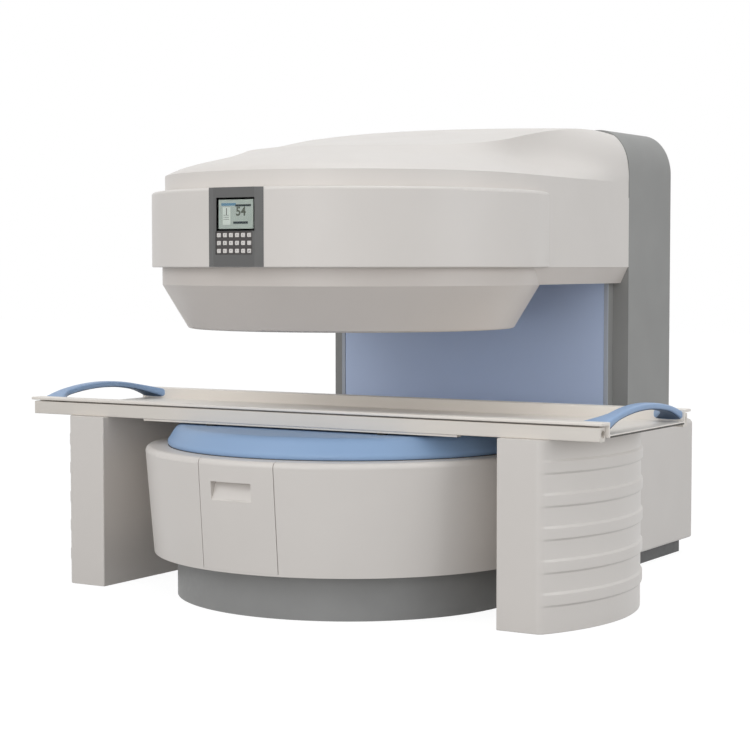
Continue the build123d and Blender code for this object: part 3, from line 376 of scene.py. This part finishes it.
def metal(name, colour, roughness, metallic=1.0):
    """Ground or rolled metal with streaks along two axes."""
    material, tree, shader = new_material(name)
    mottled(tree, shader, colour, 6.0, 0.06)
    streaks = noise(tree, 4.0, 5.0, (3.0, 3.0, 160.0))
    uneven_gloss(tree, shader, streaks, roughness - 0.08, roughness + 0.1)
    shader.inputs["Metallic"].default_value = metallic
    bumped(tree, shader, streaks, 0.15, 0.0002)
    return material


def window_glass():
    """Clear, thin glass of the display's window."""
    material, tree, shader = new_material("display glass")
    shader.inputs["Base Color"].default_value = (0.95, 0.97, 0.96, 1)
    shader.inputs["Transmission Weight"].default_value = 1.0
    shader.inputs["IOR"].default_value = 1.12
    uneven_gloss(tree, shader, noise(tree, 60.0, 2), 0.02, 0.06)
    return material


def finishes(colours):
    """Every finish of the scanner's CAD pieces, by the record's material slot."""
    return {
        "yoke_iron": metal("yoke iron", srgb(120, 122, 124), 0.5, metallic=0.6),
        "bolt_steel": metal("bolt steel", srgb(176, 176, 178), 0.3),
        "magnet_block": metal("magnet block", srgb(150, 150, 152), 0.45),
        "pole_iron": metal("pole iron", srgb(135, 136, 138), 0.4),
        "coil_resin": plastic("coil resin", srgb(170, 148, 100), 0.4, 120.0),
        "foot_steel": metal("foot steel", srgb(95, 97, 99), 0.5, metallic=0.7),
        "bracket_steel": metal("bracket steel", srgb(170, 171, 172), 0.35),
        "plinth_grey": plastic("plinth grey", colours.plinth_grey, 0.5, 420.0),
        "rear_plinth_grey": plastic("rear plinth grey", colours.dark_grey, 0.55, 420.0),
        "cover_white": paint("cover white", colours.cover_white),
        "base_white": paint("base white", colours.cover_white),
        "pole_white": paint("pole white", colours.pole_white),
        "pole_blue": paint("pole blue", colours.pole_blue, 0.45),
        "column_grey": paint("column grey", colours.column_grey, 0.5),
        "panel_blue": paint("panel blue", colours.panel_blue, 0.45),
        "trim_light": paint("trim light", srgb(178, 184, 194), 0.4),
        "bezel_grey": plastic("bezel grey", colours.bezel_grey, 0.5, 1500.0, 0.00008),
        "display_module": plastic(
            "display module", srgb(150, 162, 158), 0.35, 2000.0, 0.00002
        ),
        "board_green": plastic("board green", srgb(40, 92, 58), 0.4),
        "key_cream": plastic("key cream", srgb(222, 218, 214), 0.45, 2500.0, 0.00003, 0.01),
        "table_white": paint("table white", colours.table_white),
        "glide_black": plastic("glide black", srgb(45, 45, 46), 0.35),
        "handle_blue": plastic("handle blue", colours.handle_blue, 0.42, 700.0, 0.00012),
        "rail_cream": paint("rail cream", colours.rail_cream, 0.38, 420.0, 0.00012),
        "tie_steel": metal("tie steel", srgb(150, 150, 150), 0.45),
        "pad_rubber": plastic("pad rubber", srgb(32, 32, 32), 0.7),
        "pedestal_white": paint("pedestal white", colours.cover_white),
        "frame_steel": metal("frame steel", srgb(92, 95, 98), 0.5, metallic=0.7),
    }


MATERIALS = {}


def finish_of(node):
    """Finish of a CAD node. All finishes are made at the first call."""
    if not MATERIALS:
        MATERIALS.update(finishes(bpy.context.scene.scanner_finish))
    return MATERIALS[SLOT_OF[node]]


# Mesh helpers


def box_of(node):
    """Lowest and highest corner of a CAD node."""
    corners = [v.co for v in frame["nodes"][node].data.vertices]
    low = Vector(min(c[i] for c in corners) for i in range(3))
    high = Vector(max(c[i] for c in corners) for i in range(3))
    return low, high


def link(name, data):
    """New object in the scene."""
    piece = bpy.data.objects.new(name, data)
    bpy.context.scene.collection.objects.link(piece)
    return piece


def settle(piece):
    """Applies a piece's modifiers, so that a plain mesh is left."""
    graph = bpy.context.evaluated_depsgraph_get()
    mesh = bpy.data.meshes.new_from_object(piece.evaluated_get(graph))
    piece.modifiers.clear()
    old = piece.data
    piece.data = mesh
    bpy.data.meshes.remove(old)


def mesh_of(shape, name):
    """Mesh of a finished bmesh."""
    mesh = bpy.data.meshes.new(name)
    shape.to_mesh(mesh)
    shape.free()
    return mesh


def merged_mesh(node, name):
    """Copy of a CAD node's mesh with its corners merged and its flat faces joined up."""
    shape = bmesh.new()
    shape.from_mesh(frame["nodes"][node].data)
    bmesh.ops.remove_doubles(shape, verts=shape.verts, dist=MERGE_DISTANCE)
    bmesh.ops.dissolve_limit(
        shape, angle_limit=math.radians(FLAT_DEG), verts=shape.verts, edges=shape.edges
    )
    for face in shape.faces:
        face.smooth = True
    return mesh_of(shape, name)


def lofted_mesh(name, rings):
    """Closed mesh through rings of points, smooth but for its sharp corners."""
    shape = bmesh.new()
    rows = [[shape.verts.new(point) for point in ring] for ring in rings]
    for below, above in zip(rows, rows[1:]):
        for i in range(len(below)):
            shape.faces.new((below[i - 1], below[i], above[i], above[i - 1]))
    shape.faces.new(rows[0])
    shape.faces.new(rows[-1])
    bmesh.ops.recalc_face_normals(shape, faces=shape.faces)
    for face in shape.faces:
        face.smooth = True
    mesh = mesh_of(shape, name)
    mesh.set_sharp_from_angle(angle=math.radians(CREASE_DEG))
    return mesh


def oval(half_width, half_height, points):
    """Rectangle with well rounded corners as (across, up) offsets, counter-clockwise."""
    offsets = []
    for number in range(points):
        angle = 2 * math.pi * number / points
        cos, sin = math.cos(angle), math.sin(angle)
        across = half_width * math.copysign(abs(cos) ** (2 / SQUARENESS), cos)
        up = half_height * math.copysign(abs(sin) ** (2 / SQUARENESS), sin)
        offsets.append((across, up))
    return offsets


def refinish(node, material):
    """The CAD node stays, with a better material."""
    data = frame["nodes"][node].data
    data.materials.clear()
    data.materials.append(material)


def dress(piece, node):
    """The piece stands for a CAD node, with its body, material slot and finish."""
    piece.data.materials.clear()
    piece.data.materials.append(finish_of(node))
    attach(piece, BODY_OF[node])
    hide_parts(node)


def rounded_piece(node, radius, sharp_deg):
    """CAD node with its sharp edges rounded."""
    piece = link(node + "_skin", merged_mesh(node, node + "_skin"))
    bevel = piece.modifiers.new("edges", "BEVEL")
    bevel.width = radius
    bevel.segments = EDGE_SEGMENTS
    bevel.limit_method = "ANGLE"
    bevel.angle_limit = math.radians(sharp_deg)
    bevel.miter_outer = "MITER_ARC"
    bevel.harden_normals = True
    settle(piece)
    dress(piece, node)


def added_piece(name, mesh, material, body):
    """Piece that the CAD model lacks, on a body, with the given material."""
    mesh.materials.append(material)
    piece = link(name, mesh)
    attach(piece, body)


class ScannerOperator:
    """Shared traits of the scanner's operators."""

    bl_options = {"REGISTER", "UNDO"}


# Covers


class SCANNER_OT_covers(ScannerOperator, bpy.types.Operator):
    """Paints the housing, pole, drum, base and column covers"""

    bl_idname = "scanner.covers"
    bl_label = "Covers"

    def execute(self, context):
        for node in COVER_NODES:
            refinish(node, finish_of(node))
        return {"FINISHED"}


# Pedestals


def round_corner(centre, radius, first_deg, last_deg, steps):
    """Points of an arc with their outward directions."""
    points = []
    for step in range(steps + 1):
        angle = math.radians(first_deg + (last_deg - first_deg) * step / steps)
        outward = Vector((math.cos(angle), math.sin(angle)))
        points.append((Vector(centre) + radius * outward, outward))
    return points


def pedestal_outline():
    """Plan of the right pedestal from its inner back corner round.

    Each point comes with its outward direction and its share of the ribs' depth.
    """
    half_depth = TABLE_MID_Y - PEDESTAL_FRONT_Y
    bulge = PEDESTAL_OUTER_X - PEDESTAL_CORNER_X
    radius = (bulge**2 + half_depth**2) / (2 * bulge)
    centre_x = PEDESTAL_OUTER_X - radius
    corner_y = PEDESTAL_CORNER_R - half_depth
    corner_x = centre_x + math.sqrt((radius - PEDESTAL_CORNER_R) ** 2 - corner_y**2)
    turn = math.degrees(math.atan2(corner_y, corner_x - centre_x))
    inner_x = PEDESTAL_INNER_X + PEDESTAL_INNER_R
    inner_y = half_depth - PEDESTAL_INNER_R
    mid = Vector((0, TABLE_MID_Y))
    arcs = (
        ((inner_x, inner_y), PEDESTAL_INNER_R, 90, 180, INNER_CORNER_STEPS),
        ((inner_x, -inner_y), PEDESTAL_INNER_R, 180, 270, INNER_CORNER_STEPS),
        ((corner_x, corner_y), PEDESTAL_CORNER_R, -90, turn, OUTER_CORNER_STEPS),
        ((centre_x, 0), radius, turn, -turn, BULGE_STEPS),
        ((corner_x, -corner_y), PEDESTAL_CORNER_R, -turn, 90, OUTER_CORNER_STEPS),
    )
    outline = []
    for arc in arcs:
        points = round_corner(*arc)
        if outline and (points[0][0] + mid - outline[-1][0]).length < 1e-6:
            points = points[1:]
        outline += [(point + mid, outward) for point, outward in points]
    ribbed = []
    for point, outward in outline:
        from_end = half_depth - abs(point.y - TABLE_MID_Y)
        share = min(1, max(0, from_end / RIB_RUN_OUT)) if outward.x > 0 else 0
        ribbed.append((point, outward, math.sin(share * math.pi / 2)))
    return ribbed


def pedestal_levels(top, sizes):
    """Levels up the pedestal's inside and outside: height, step inwards, share of rib depth."""
    wall = sizes.pedestal_wall
    levels = [(top - wall, wall, 0), (0, wall, 0), (0, PEDESTAL_EDGE, 0), (PEDESTAL_EDGE, 0, 0)]
    for number in range(sizes.rib_count):
        foot = RIB_FIRST_Z + number * RIB_PITCH
        head = foot + sizes.rib_height
        levels += [(foot + share * RIB_SLOPE, 0, out) for share, out in RIB_PROFILE]
        levels += [(head - share * RIB_SLOPE, 0, out) for share, out in reversed(RIB_PROFILE)]
    return levels + [(top - PEDESTAL_EDGE, 0, 0), (top, PEDESTAL_EDGE, 0)]


class SCANNER_OT_pedestals(ScannerOperator, bpy.types.Operator):
    """Moulds the ribbed pedestals: hollow, flat to the magnet, bulging outwards"""

    bl_idname = "scanner.pedestals"
    bl_label = "Pedestals"

    def execute(self, context):
        sizes = context.scene.scanner_sizes
        outline = pedestal_outline()
        for node, side in (("left_pedestal_cover", -1), ("right_pedestal_cover", 1)):
            rings = []
            for height, inwards, out in pedestal_levels(box_of(node)[1].z, sizes):
                ring = []
                for point, outward, rib in outline:
                    place = point + outward * (sizes.rib_depth * rib * out - inwards)
                    ring.append((side * place.x, place.y, height))
                rings.append(ring)
            piece = link(node + "_skin", lofted_mesh(node + "_skin", rings))
            shading = piece.modifiers.new("even shading", "WEIGHTED_NORMAL")
            shading.keep_sharp = True
            settle(piece)
            dress(piece, node)
        return {"FINISHED"}


# Patient table


class SCANNER_OT_table(ScannerOperator, bpy.types.Operator):
    """Finishes the tabletop, its rails and pads"""

    bl_idname = "scanner.table"
    bl_label = "Patient table"

    def execute(self, context):
        edge = context.scene.scanner_sizes.table_edge
        for node in ("tabletop", "front_rail", "rear_rail"):
            rounded_piece(node, edge, TABLE_SHARP_DEG)
        for node in ("glide_shoes", "rail_ties", "rail_sills", "table_pads"):
            refinish(node, finish_of(node))
        return {"FINISHED"}


def cross_section(side, x, share, z, half_width, half_height, points):
    """Oval across a bar or strip, at a share of its reach from the table's middle line."""
    y = TABLE_MID_Y + share * BAR_REACH
    return [(side * (x + dx), y, z + dz) for dx, dz in oval(half_width, half_height, points)]


def bar_section(share, sizes):
    """Push bar at a share of its reach from the middle: width, thickness and top height."""
    root = max(0, (abs(share) - BAR_ROOT_FROM) / (1 - BAR_ROOT_FROM)) ** BAR_ROOT_EASE
    rise = (1 - share**2) * (BAR_CREST_Z - BAR_SHOULDER_Z)
    width = sizes.bar_width + BAR_ROOT_WIDER * root
    return width, sizes.bar_thickness + BAR_ROOT_THICKER * root, BAR_SHOULDER_Z + rise


class SCANNER_OT_push_bars(ScannerOperator, bpy.types.Operator):
    """Moulds the arched push bars, wider at their roots, with a dark sheet of painted shade
    underneath
    """

    bl_idname = "scanner.push_bars"
    bl_label = "Push bars"

    def execute(self, context):
        sizes = context.scene.scanner_sizes
        # Dark blue sheet under each arch, a little narrower than the bar: painted shade, standing
        # for the shade under the hollow arch
        dark = plastic("push bar painted shade", srgb(72, 92, 118), 0.6, 700.0, 0.00012)
        for node, side in (("left_handle", -1), ("right_handle", 1)):
            bar, painted_shade = [], []
            for step in range(-BAR_STEPS, BAR_STEPS + 1):
                share = step / BAR_STEPS
                width, thickness, top = bar_section(share, sizes)
                x, z = BAR_OUTER_X - width / 2, top - thickness / 2
                bar.append(
                    cross_section(side, x, share, z, width / 2, thickness / 2, BAR_POINTS)
                )
                if abs(step) < BAR_STEPS:
                    half, z = width / 2 - PAINTED_SHADE_IN, top - thickness
                    painted_shade.append(
                        cross_section(side, x, share, z, half, PAINTED_SHADE_T / 2, PAINTED_SHADE_POINTS)
                    )
            dress(link(node + "_skin", lofted_mesh(node + "_skin", bar)), node)
            # Dark sheet of painted shade, on the push bar's body
            name = node + "_painted_shade"
            added_piece(name, lofted_mesh(name, painted_shade), dark, BODY_OF[node])
        return {"FINISHED"}


class SCANNER_OT_strips(ScannerOperator, bpy.types.Operator):
    """Lays dark strips along the tabletop's ends and a dark ring of painted shade round the lower
    pole cover's foot
    """

    bl_idname = "scanner.strips"
    bl_label = "Dark end strips and painted shade ring"

    def execute(self, context):
        # Dark material of the end strips, and of the ring of painted shade at the pole cover's
        # foot
        dark_strip_and_shade = plastic("dark end strip and painted shade", srgb(70, 67, 62), 0.6, 1200.0, 0.0001)
        low, high = box_of("tabletop")
        # Dark strip along the lower edge of each end of the tabletop
        for name, end in (("left_end_strip", low.x), ("right_end_strip", high.x)):
            rings = [
                cross_section(
                    1, end, share, STRIP_Z, STRIP_OUT * size, STRIP_HALF_H * size, STRIP_POINTS
                )
                for share, size in STRIP_PROFILE
            ]
            mesh = lofted_mesh(name, rings)
            added_piece(name, mesh, dark_strip_and_shade, BODY_OF["tabletop"])
        # Ring of painted shade where the lower pole cover meets the drum's top
        rings = []
        for degrees in range(SHADE_RING_FROM_DEG, SHADE_RING_TO_DEG + 1, SHADE_RING_STEP_DEG):
            angle = math.radians(degrees)
            outward = Vector((math.cos(angle), math.sin(angle), 0))
            rings.append(
                [
                    outward * (SHADE_RING_RADIUS + dx) + Vector((0, 0, SHADE_RING_Z + dz))
                    for dx, dz in oval(SHADE_RING_HALF_W, SHADE_RING_HALF_H, SHADE_RING_POINTS)
                ]
            )
        shade_ring = lofted_mesh("pole_cover_shade_ring", rings)
        added_piece("pole_cover_shade_ring", shade_ring, dark_strip_and_shade, "magnet")
        return {"FINISHED"}


# Control panel


def front_plate(shape, left, right, bottom, top, y):
    """Flat rectangle that faces the operator."""
    corners = [(left, y, bottom), (right, y, bottom), (right, y, top), (left, y, top)]
    shape.faces.new([shape.verts.new(corner) for corner in corners])


def front_text(shape, words, height, centre, bolder=0.0):
    """Flat letters that face the operator, about a centre."""
    curve = bpy.data.curves.new("letters", "FONT")
    curve.body = words
    curve.size = height
    curve.offset = bolder
    curve.align_x = "CENTER"
    curve.align_y = "CENTER"
    holder = link("letters", curve)
    graph = bpy.context.evaluated_depsgraph_get()
    mesh = bpy.data.meshes.new_from_object(holder.evaluated_get(graph))
    upright = Euler((math.radians(90), 0, 0)).to_matrix().to_4x4()
    mesh.transform(Matrix.Translation(centre) @ upright)
    shape.from_mesh(mesh)
    bpy.data.objects.remove(holder)
    bpy.data.curves.remove(curve)
    bpy.data.meshes.remove(mesh)


def picture_ink(colour):
    """Flat colour of the liquid crystal picture."""
    return plastic("display " + colour, PICTURE_COLOURS[colour], 0.4, 3000.0, 0.00001)


class SCANNER_OT_display(ScannerOperator, bpy.types.Operator):
    """Draws the liquid crystal picture behind the display's window"""

    bl_idname = "scanner.display"
    bl_label = "Display picture"

    def execute(self, context):
        low, high = box_of("display_module")
        left, right = low.x + DISPLAY_SHOULDER, high.x - DISPLAY_SHOULDER
        bottom, top = low.z + DISPLAY_SHOULDER, high.z - DISPLAY_SHOULDER
        width, height = right - left, top - bottom

        def plate(shape, x0, x1, z0, z1, y):
            x0, x1 = left + x0 * width, left + x1 * width
            front_plate(shape, x0, x1, bottom + z0 * height, bottom + z1 * height, y)

        y = low.y
        for number, (colour, *shares) in enumerate(PICTURE_FIELDS, 1):
            y -= PICTURE_STEP
            shape = bmesh.new()
            plate(shape, *shares, y)
            name = f"display_field_{number}"
            mesh = mesh_of(shape, name)
            added_piece(name, mesh, picture_ink(colour), "magnet")
        y -= PICTURE_STEP
        shape = bmesh.new()
        for words, share, x, z, bolder in PICTURE_FIGURES:
            centre = Vector((left + x * width, y, bottom + z * height))
            front_text(shape, words, share * height, centre, bolder)
        for z in PICTURE_LINES:
            plate(shape, PICTURE_LINE_LEFT, PICTURE_LINE_RIGHT, z, z + PICTURE_LINE_HEIGHT, y)
        mesh = mesh_of(shape, "display_figures")
        added_piece("display_figures", mesh, picture_ink("ink"), "magnet")
        return {"FINISHED"}


def keypad_sheet(keys):
    """Dark membrane round the keys: a grid of cells, left out where a key stands."""
    boxes = [box_of(key) for key in keys]
    flange = KEY_FLANGE - KEY_GAP
    xs = sorted({round(c, 5) for low, high in boxes for c in (low.x + flange, high.x - flange)})
    zs = sorted({round(c, 5) for low, high in boxes for c in (low.z + flange, high.z - flange)})
    xs = [xs[0] - SHEET_BORDER, *xs, xs[-1] + SHEET_BORDER]
    zs = [zs[0] - SHEET_BORDER, *zs, zs[-1] + SHEET_BORDER]
    y = boxes[0][0].y + KEY_PROUD - SHEET_T
    shape = bmesh.new()
    corners = [[shape.verts.new((x, y, z)) for z in zs] for x in xs]
    for i in range(len(xs) - 1):
        for j in range(len(zs) - 1):
            between_keys = i % 2 == 0 or j % 2 == 0
            if between_keys:
                ring = (corners[i][j], corners[i + 1][j], corners[i + 1][j + 1], corners[i][j + 1])
                shape.faces.new(ring)
    rims = [
        (loop.vert, loop.link_loop_next.vert)
        for face in shape.faces
        for loop in face.loops
        if len(loop.edge.link_faces) == 1
    ]
    behind = {}
    for near, far in rims:
        for corner in (near, far):
            if corner not in behind:
                behind[corner] = shape.verts.new(corner.co + Vector((0, SHEET_T, 0)))
        shape.faces.new((far, near, behind[near], behind[far]))
    return mesh_of(shape, "keypad_sheet")


class SCANNER_OT_control_panel(ScannerOperator, bpy.types.Operator):
    """Finishes the bezel and the keys, with a dark sheet and legends on the keypad"""

    bl_idname = "scanner.control_panel"
    bl_label = "Control panel"

    def execute(self, context):
        edge = context.scene.scanner_sizes.key_edge
        keys = [node for node in frame["nodes"] if node.startswith("key_")]
        for node in ("control_panel_bezel", "display_module", "keypad_board"):
            refinish(node, finish_of(node))
        refinish("display_window", window_glass())
        ink = plastic("legend ink", srgb(70, 72, 78), 0.5, 2500.0, 0.00001)
        for key in keys:
            rounded_piece(key, edge, KEY_SHARP_DEG)
            row, column = (int(part) for part in key.split("_")[1:])
            low, high = box_of(key)
            centre = (low + high) / 2
            centre.y = low.y - PICTURE_STEP
            shape = bmesh.new()
            front_text(shape, LEGENDS[row - 1][column - 1], LEGEND_HEIGHT, centre)
            name = key + "_legend"
            added_piece(name, mesh_of(shape, name), ink, BODY_OF[key])
        sheet = plastic("keypad sheet", srgb(62, 58, 57), 0.5, 1800.0, 0.00004)
        added_piece("keypad_sheet", keypad_sheet(keys), sheet, "magnet")
        return {"FINISHED"}


# Rows of screws, made by Geometry Nodes


def screw_tree():
    """Grid of socket-head screws on an upright wall that faces backwards."""
    tree = bpy.data.node_groups.new("screw rows", "GeometryNodeTree")
    for name, kind in (
        ("Centre", "Vector"),
        ("Width", "Float"),
        ("Height", "Float"),
        ("Columns", "Int"),
        ("Rows", "Int"),
        ("Head radius", "Float"),
        ("Head height", "Float"),
        ("Material", "Material"),
    ):
        tree.interface.new_socket(name, in_out="INPUT", socket_type="NodeSocket" + kind)
    tree.interface.new_socket("Geometry", in_out="OUTPUT", socket_type="NodeSocketGeometry")
    given = tree.nodes.new("NodeGroupInput").outputs
    connect = tree.links.new

    grid = tree.nodes.new("GeometryNodeMeshGrid")
    connect(given["Width"], grid.inputs["Size X"])
    connect(given["Height"], grid.inputs["Size Y"])
    connect(given["Columns"], grid.inputs["Vertices X"])
    connect(given["Rows"], grid.inputs["Vertices Y"])
    stand = tree.nodes.new("GeometryNodeTransform")
    stand.inputs["Rotation"].default_value = (math.radians(90), 0, 0)
    connect(grid.outputs["Mesh"], stand.inputs["Geometry"])
    connect(given["Centre"], stand.inputs["Translation"])

    head = tree.nodes.new("GeometryNodeMeshCylinder")
    head.inputs["Vertices"].default_value = SCREW_SIDES
    connect(given["Head radius"], head.inputs["Radius"])
    connect(given["Head height"], head.inputs["Depth"])
    rim = tree.nodes.new("GeometryNodeExtrudeMesh")
    rim.inputs["Offset Scale"].default_value = 0.0
    connect(head.outputs["Mesh"], rim.inputs["Mesh"])
    connect(head.outputs["Top"], rim.inputs["Selection"])
    socket = tree.nodes.new("GeometryNodeScaleElements")
    socket.inputs["Scale"].default_value = SCREW_SOCKET_WIDTH
    connect(rim.outputs["Mesh"], socket.inputs["Geometry"])
    connect(rim.outputs["Top"], socket.inputs["Selection"])
    depth = tree.nodes.new("ShaderNodeMath")
    depth.operation = "MULTIPLY"
    depth.inputs[1].default_value = -SCREW_SOCKET_DEPTH
    connect(given["Head height"], depth.inputs[0])
    sunk = tree.nodes.new("GeometryNodeExtrudeMesh")
    connect(socket.outputs["Geometry"], sunk.inputs["Mesh"])
    connect(rim.outputs["Top"], sunk.inputs["Selection"])
    connect(depth.outputs["Value"], sunk.inputs["Offset Scale"])

    rows = tree.nodes.new("GeometryNodeInstanceOnPoints")
    rows.inputs["Rotation"].default_value = (math.radians(-90), 0, 0)
    connect(stand.outputs["Geometry"], rows.inputs["Points"])
    connect(sunk.outputs["Mesh"], rows.inputs["Instance"])
    real = tree.nodes.new("GeometryNodeRealizeInstances")
    connect(rows.outputs["Instances"], real.inputs["Geometry"])
    finish = tree.nodes.new("GeometryNodeSetMaterial")
    connect(real.outputs["Geometry"], finish.inputs["Geometry"])
    connect(given["Material"], finish.inputs["Material"])
    result = tree.nodes.new("NodeGroupOutput")
    connect(finish.outputs["Geometry"], result.inputs["Geometry"])
    return tree


def screws(name, tree, values):
    """One piece of screw rows, with the tree's named inputs set."""
    piece = link(name, bpy.data.meshes.new(name))
    rows = piece.modifiers.new("rows", "NODES")
    rows.node_group = tree
    for item in tree.interface.items_tree:
        if item.in_out == "INPUT":
            rows[item.identifier] = values[item.name]
    settle(piece)
    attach(piece, "magnet")


class SCANNER_OT_screws(ScannerOperator, bpy.types.Operator):
    """Sets the screws that hold the column's and the base's covers at the back"""

    bl_idname = "scanner.screws"
    bl_label = "Cover screws"

    def execute(self, context):
        sizes = context.scene.scanner_sizes
        tree = screw_tree()
        steel = metal("screw steel", srgb(190, 190, 192), 0.3)
        for name, cover, columns, rows, beside, below, above in SCREW_ROWS:
            low, high = box_of(cover)
            middle_z = (low.z + below + high.z - above) / 2
            values = {
                "Centre": Vector((0, high.y + sizes.screw_height / 2, middle_z)),
                "Width": high.x - low.x - 2 * beside,
                "Height": high.z - low.z - below - above,
                "Columns": columns,
                "Rows": rows,
                "Head radius": sizes.screw_radius,
                "Head height": sizes.screw_height,
                "Material": steel,
            }
            screws(name, tree, values)
        return {"FINISHED"}


# Magnet and frames


class SCANNER_OT_magnet(ScannerOperator, bpy.types.Operator):
    """Finishes the magnet, yoke, coils, feet and frames inside the covers"""

    bl_idname = "scanner.magnet"
    bl_label = "Magnet and frames"

    def execute(self, context):
        for node in frame["nodes"]:
            if SLOT_OF[node] in INNER_SLOTS:
                refinish(node, finish_of(node))
        return {"FINISHED"}


# Stage


def lamp(name, place, aim, size, power, colour):
    """Round area light that points at a place."""
    light = bpy.data.lights.new(name, "AREA")
    light.shape = "DISK"
    light.size = size
    light.energy = power
    light.color = colour
    holder = link(name, light)
    holder.location = place
    holder.rotation_euler = (Vector(aim) - Vector(place)).to_track_quat("-Z", "Y").to_euler()


def shown_instead(tree, lit, surface):
    """Input for what the camera, mirrors and glass see in place of the lit shader."""
    rays = tree.nodes.new("ShaderNodeLightPath").outputs
    seen = rays["Is Camera Ray"]
    for kind in ("Is Glossy Ray", "Is Transmission Ray"):
        either = tree.nodes.new("ShaderNodeMath")
        either.operation = "MAXIMUM"
        tree.links.new(seen, either.inputs[0])
        tree.links.new(rays[kind], either.inputs[1])
        seen = either.outputs["Value"]
    mix = tree.nodes.new("ShaderNodeMixShader")
    tree.links.new(seen, mix.inputs[0])
    tree.links.new(lit, mix.inputs[1])
    tree.links.new(mix.outputs["Shader"], surface)
    return mix.inputs[2]


def white_world(strength):
    """Even light from all round, behind which the camera sees plain white."""
    world = bpy.data.worlds.new("studio")
    world.use_nodes = True
    tree = world.node_tree
    tree.nodes.clear()
    ambient = tree.nodes.new("ShaderNodeBackground")
    ambient.inputs["Color"].default_value = AMBIENT_LIGHT + (1,)
    ambient.inputs["Strength"].default_value = strength
    white = tree.nodes.new("ShaderNodeBackground")
    white.inputs["Color"].default_value = (1, 1, 1, 1)
    output = tree.nodes.new("ShaderNodeOutputWorld")
    shown = shown_instead(tree, ambient.outputs["Background"], output.inputs["Surface"])
    tree.links.new(white.outputs["Background"], shown)
    return world


def floor_material():
    """Grey floor that the camera sees as near white, with the object's shadow on it."""
    material, tree, shader = new_material("floor")
    shader.inputs["Base Color"].default_value = (FLOOR_GREY, FLOOR_GREY, FLOOR_GREY, 1)
    shader.inputs["Roughness"].default_value = FLOOR_ROUGHNESS
    output = next(node for node in tree.nodes if node.type == "OUTPUT_MATERIAL")
    shown = shown_instead(tree, shader.outputs["BSDF"], output.inputs["Surface"])
    glow = tree.nodes.new("ShaderNodeEmission")
    glow.inputs["Strength"].default_value = FLOOR_GLOW
    shadowed = tree.nodes.new("ShaderNodeBsdfDiffuse")
    shadowed.inputs["Color"].default_value = (FLOOR_SHADOW, FLOOR_SHADOW, FLOOR_SHADOW, 1)
    both = tree.nodes.new("ShaderNodeAddShader")
    tree.links.new(glow.outputs["Emission"], both.inputs[0])
    tree.links.new(shadowed.outputs["BSDF"], both.inputs[1])
    tree.links.new(both.outputs["Shader"], shown)
    return material


class SCANNER_OT_stage(ScannerOperator, bpy.types.Operator):
    """Sets the camera, the floor, the lamps and the white surroundings"""

    bl_idname = "scanner.stage"
    bl_label = "Stage"

    def execute(self, context):
        stage = context.scene.scanner_stage
        camera = bpy.data.cameras.new("camera")
        camera.sensor_width = CAMERA_SENSOR_MM
        camera.lens = CAMERA_LENS_MM
        camera.clip_end = CAMERA_FAR
        eye = link("camera", camera)
        eye.location = CAMERA_PLACE
        eye.rotation_euler = (math.radians(CAMERA_TILT_DEG), 0, math.radians(CAMERA_TURN_DEG))
        context.scene.camera = eye
        context.scene.view_settings.view_transform = "Standard"
        context.scene.world = white_world(stage.ambient)

        half = stage.floor_size / 2
        mesh = bpy.data.meshes.new("floor")
        corners = [(-half, -half, 0), (half, -half, 0), (half, half, 0), (-half, half, 0)]
        mesh.from_pydata(corners, [], [(0, 1, 2, 3)])
        mesh.materials.append(floor_material())
        link("floor", mesh)

        lamp("key", (-2.5, -6.5, 5.0), (0, 0, 1.0), 4.5, stage.key_power, PLAIN_LIGHT)
        lamp("fill", (7.0, 0.4, 2.8), (0, 0, 1.0), 4.0, stage.fill_power, COOL_LIGHT)
        lamp("front", (1.6, -7.5, 1.5), (0, 0, 1.0), 3.5, stage.front_power, PLAIN_LIGHT)
        lamp("top", (0.5, 0.5, 6.5), (0, 0.2, 1.0), 4.5, stage.top_power, COOLER_LIGHT)
        return {"FINISHED"}


class SCANNER_PT_sidebar(bpy.types.Panel):
    """Colours, sizes, lamps and building steps of the scanner"""

    bl_idname = "SCANNER_PT_sidebar"
    bl_label = "Open MRI scanner"
    bl_space_type = "VIEW_3D"
    bl_region_type = "UI"
    bl_category = "Scanner"

    def draw(self, context):
        scene = context.scene
        for settings in (scene.scanner_finish, scene.scanner_sizes, scene.scanner_stage):
            column = self.layout.column()
            for name in settings.__annotations__:
                column.prop(settings, name)
        for operator in OPERATORS:
            self.layout.operator(operator.bl_idname)


OPERATORS = (
    SCANNER_OT_stage,
    SCANNER_OT_covers,
    SCANNER_OT_pedestals,
    SCANNER_OT_table,
    SCANNER_OT_push_bars,
    SCANNER_OT_strips,
    SCANNER_OT_control_panel,
    SCANNER_OT_display,
    SCANNER_OT_screws,
    SCANNER_OT_magnet,
)
CLASSES = (ScannerFinish, ScannerSizes, ScannerStage) + OPERATORS + (SCANNER_PT_sidebar,)


def register():
    for item in CLASSES:
        bpy.utils.register_class(item)
    bpy.types.Scene.scanner_finish = PointerProperty(type=ScannerFinish)
    bpy.types.Scene.scanner_sizes = PointerProperty(type=ScannerSizes)
    bpy.types.Scene.scanner_stage = PointerProperty(type=ScannerStage)


def unregister():
    del bpy.types.Scene.scanner_stage
    del bpy.types.Scene.scanner_sizes
    del bpy.types.Scene.scanner_finish
    for item in reversed(CLASSES):
        bpy.utils.unregister_class(item)


def main():
    register()
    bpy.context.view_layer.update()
    bpy.ops.scanner.stage()
    bpy.ops.scanner.covers()
    bpy.ops.scanner.pedestals()
    bpy.ops.scanner.table()
    bpy.ops.scanner.push_bars()
    bpy.ops.scanner.strips()
    bpy.ops.scanner.control_panel()
    bpy.ops.scanner.display()
    bpy.ops.scanner.screws()
    bpy.ops.scanner.magnet()


if __name__ == "__main__":
    main()
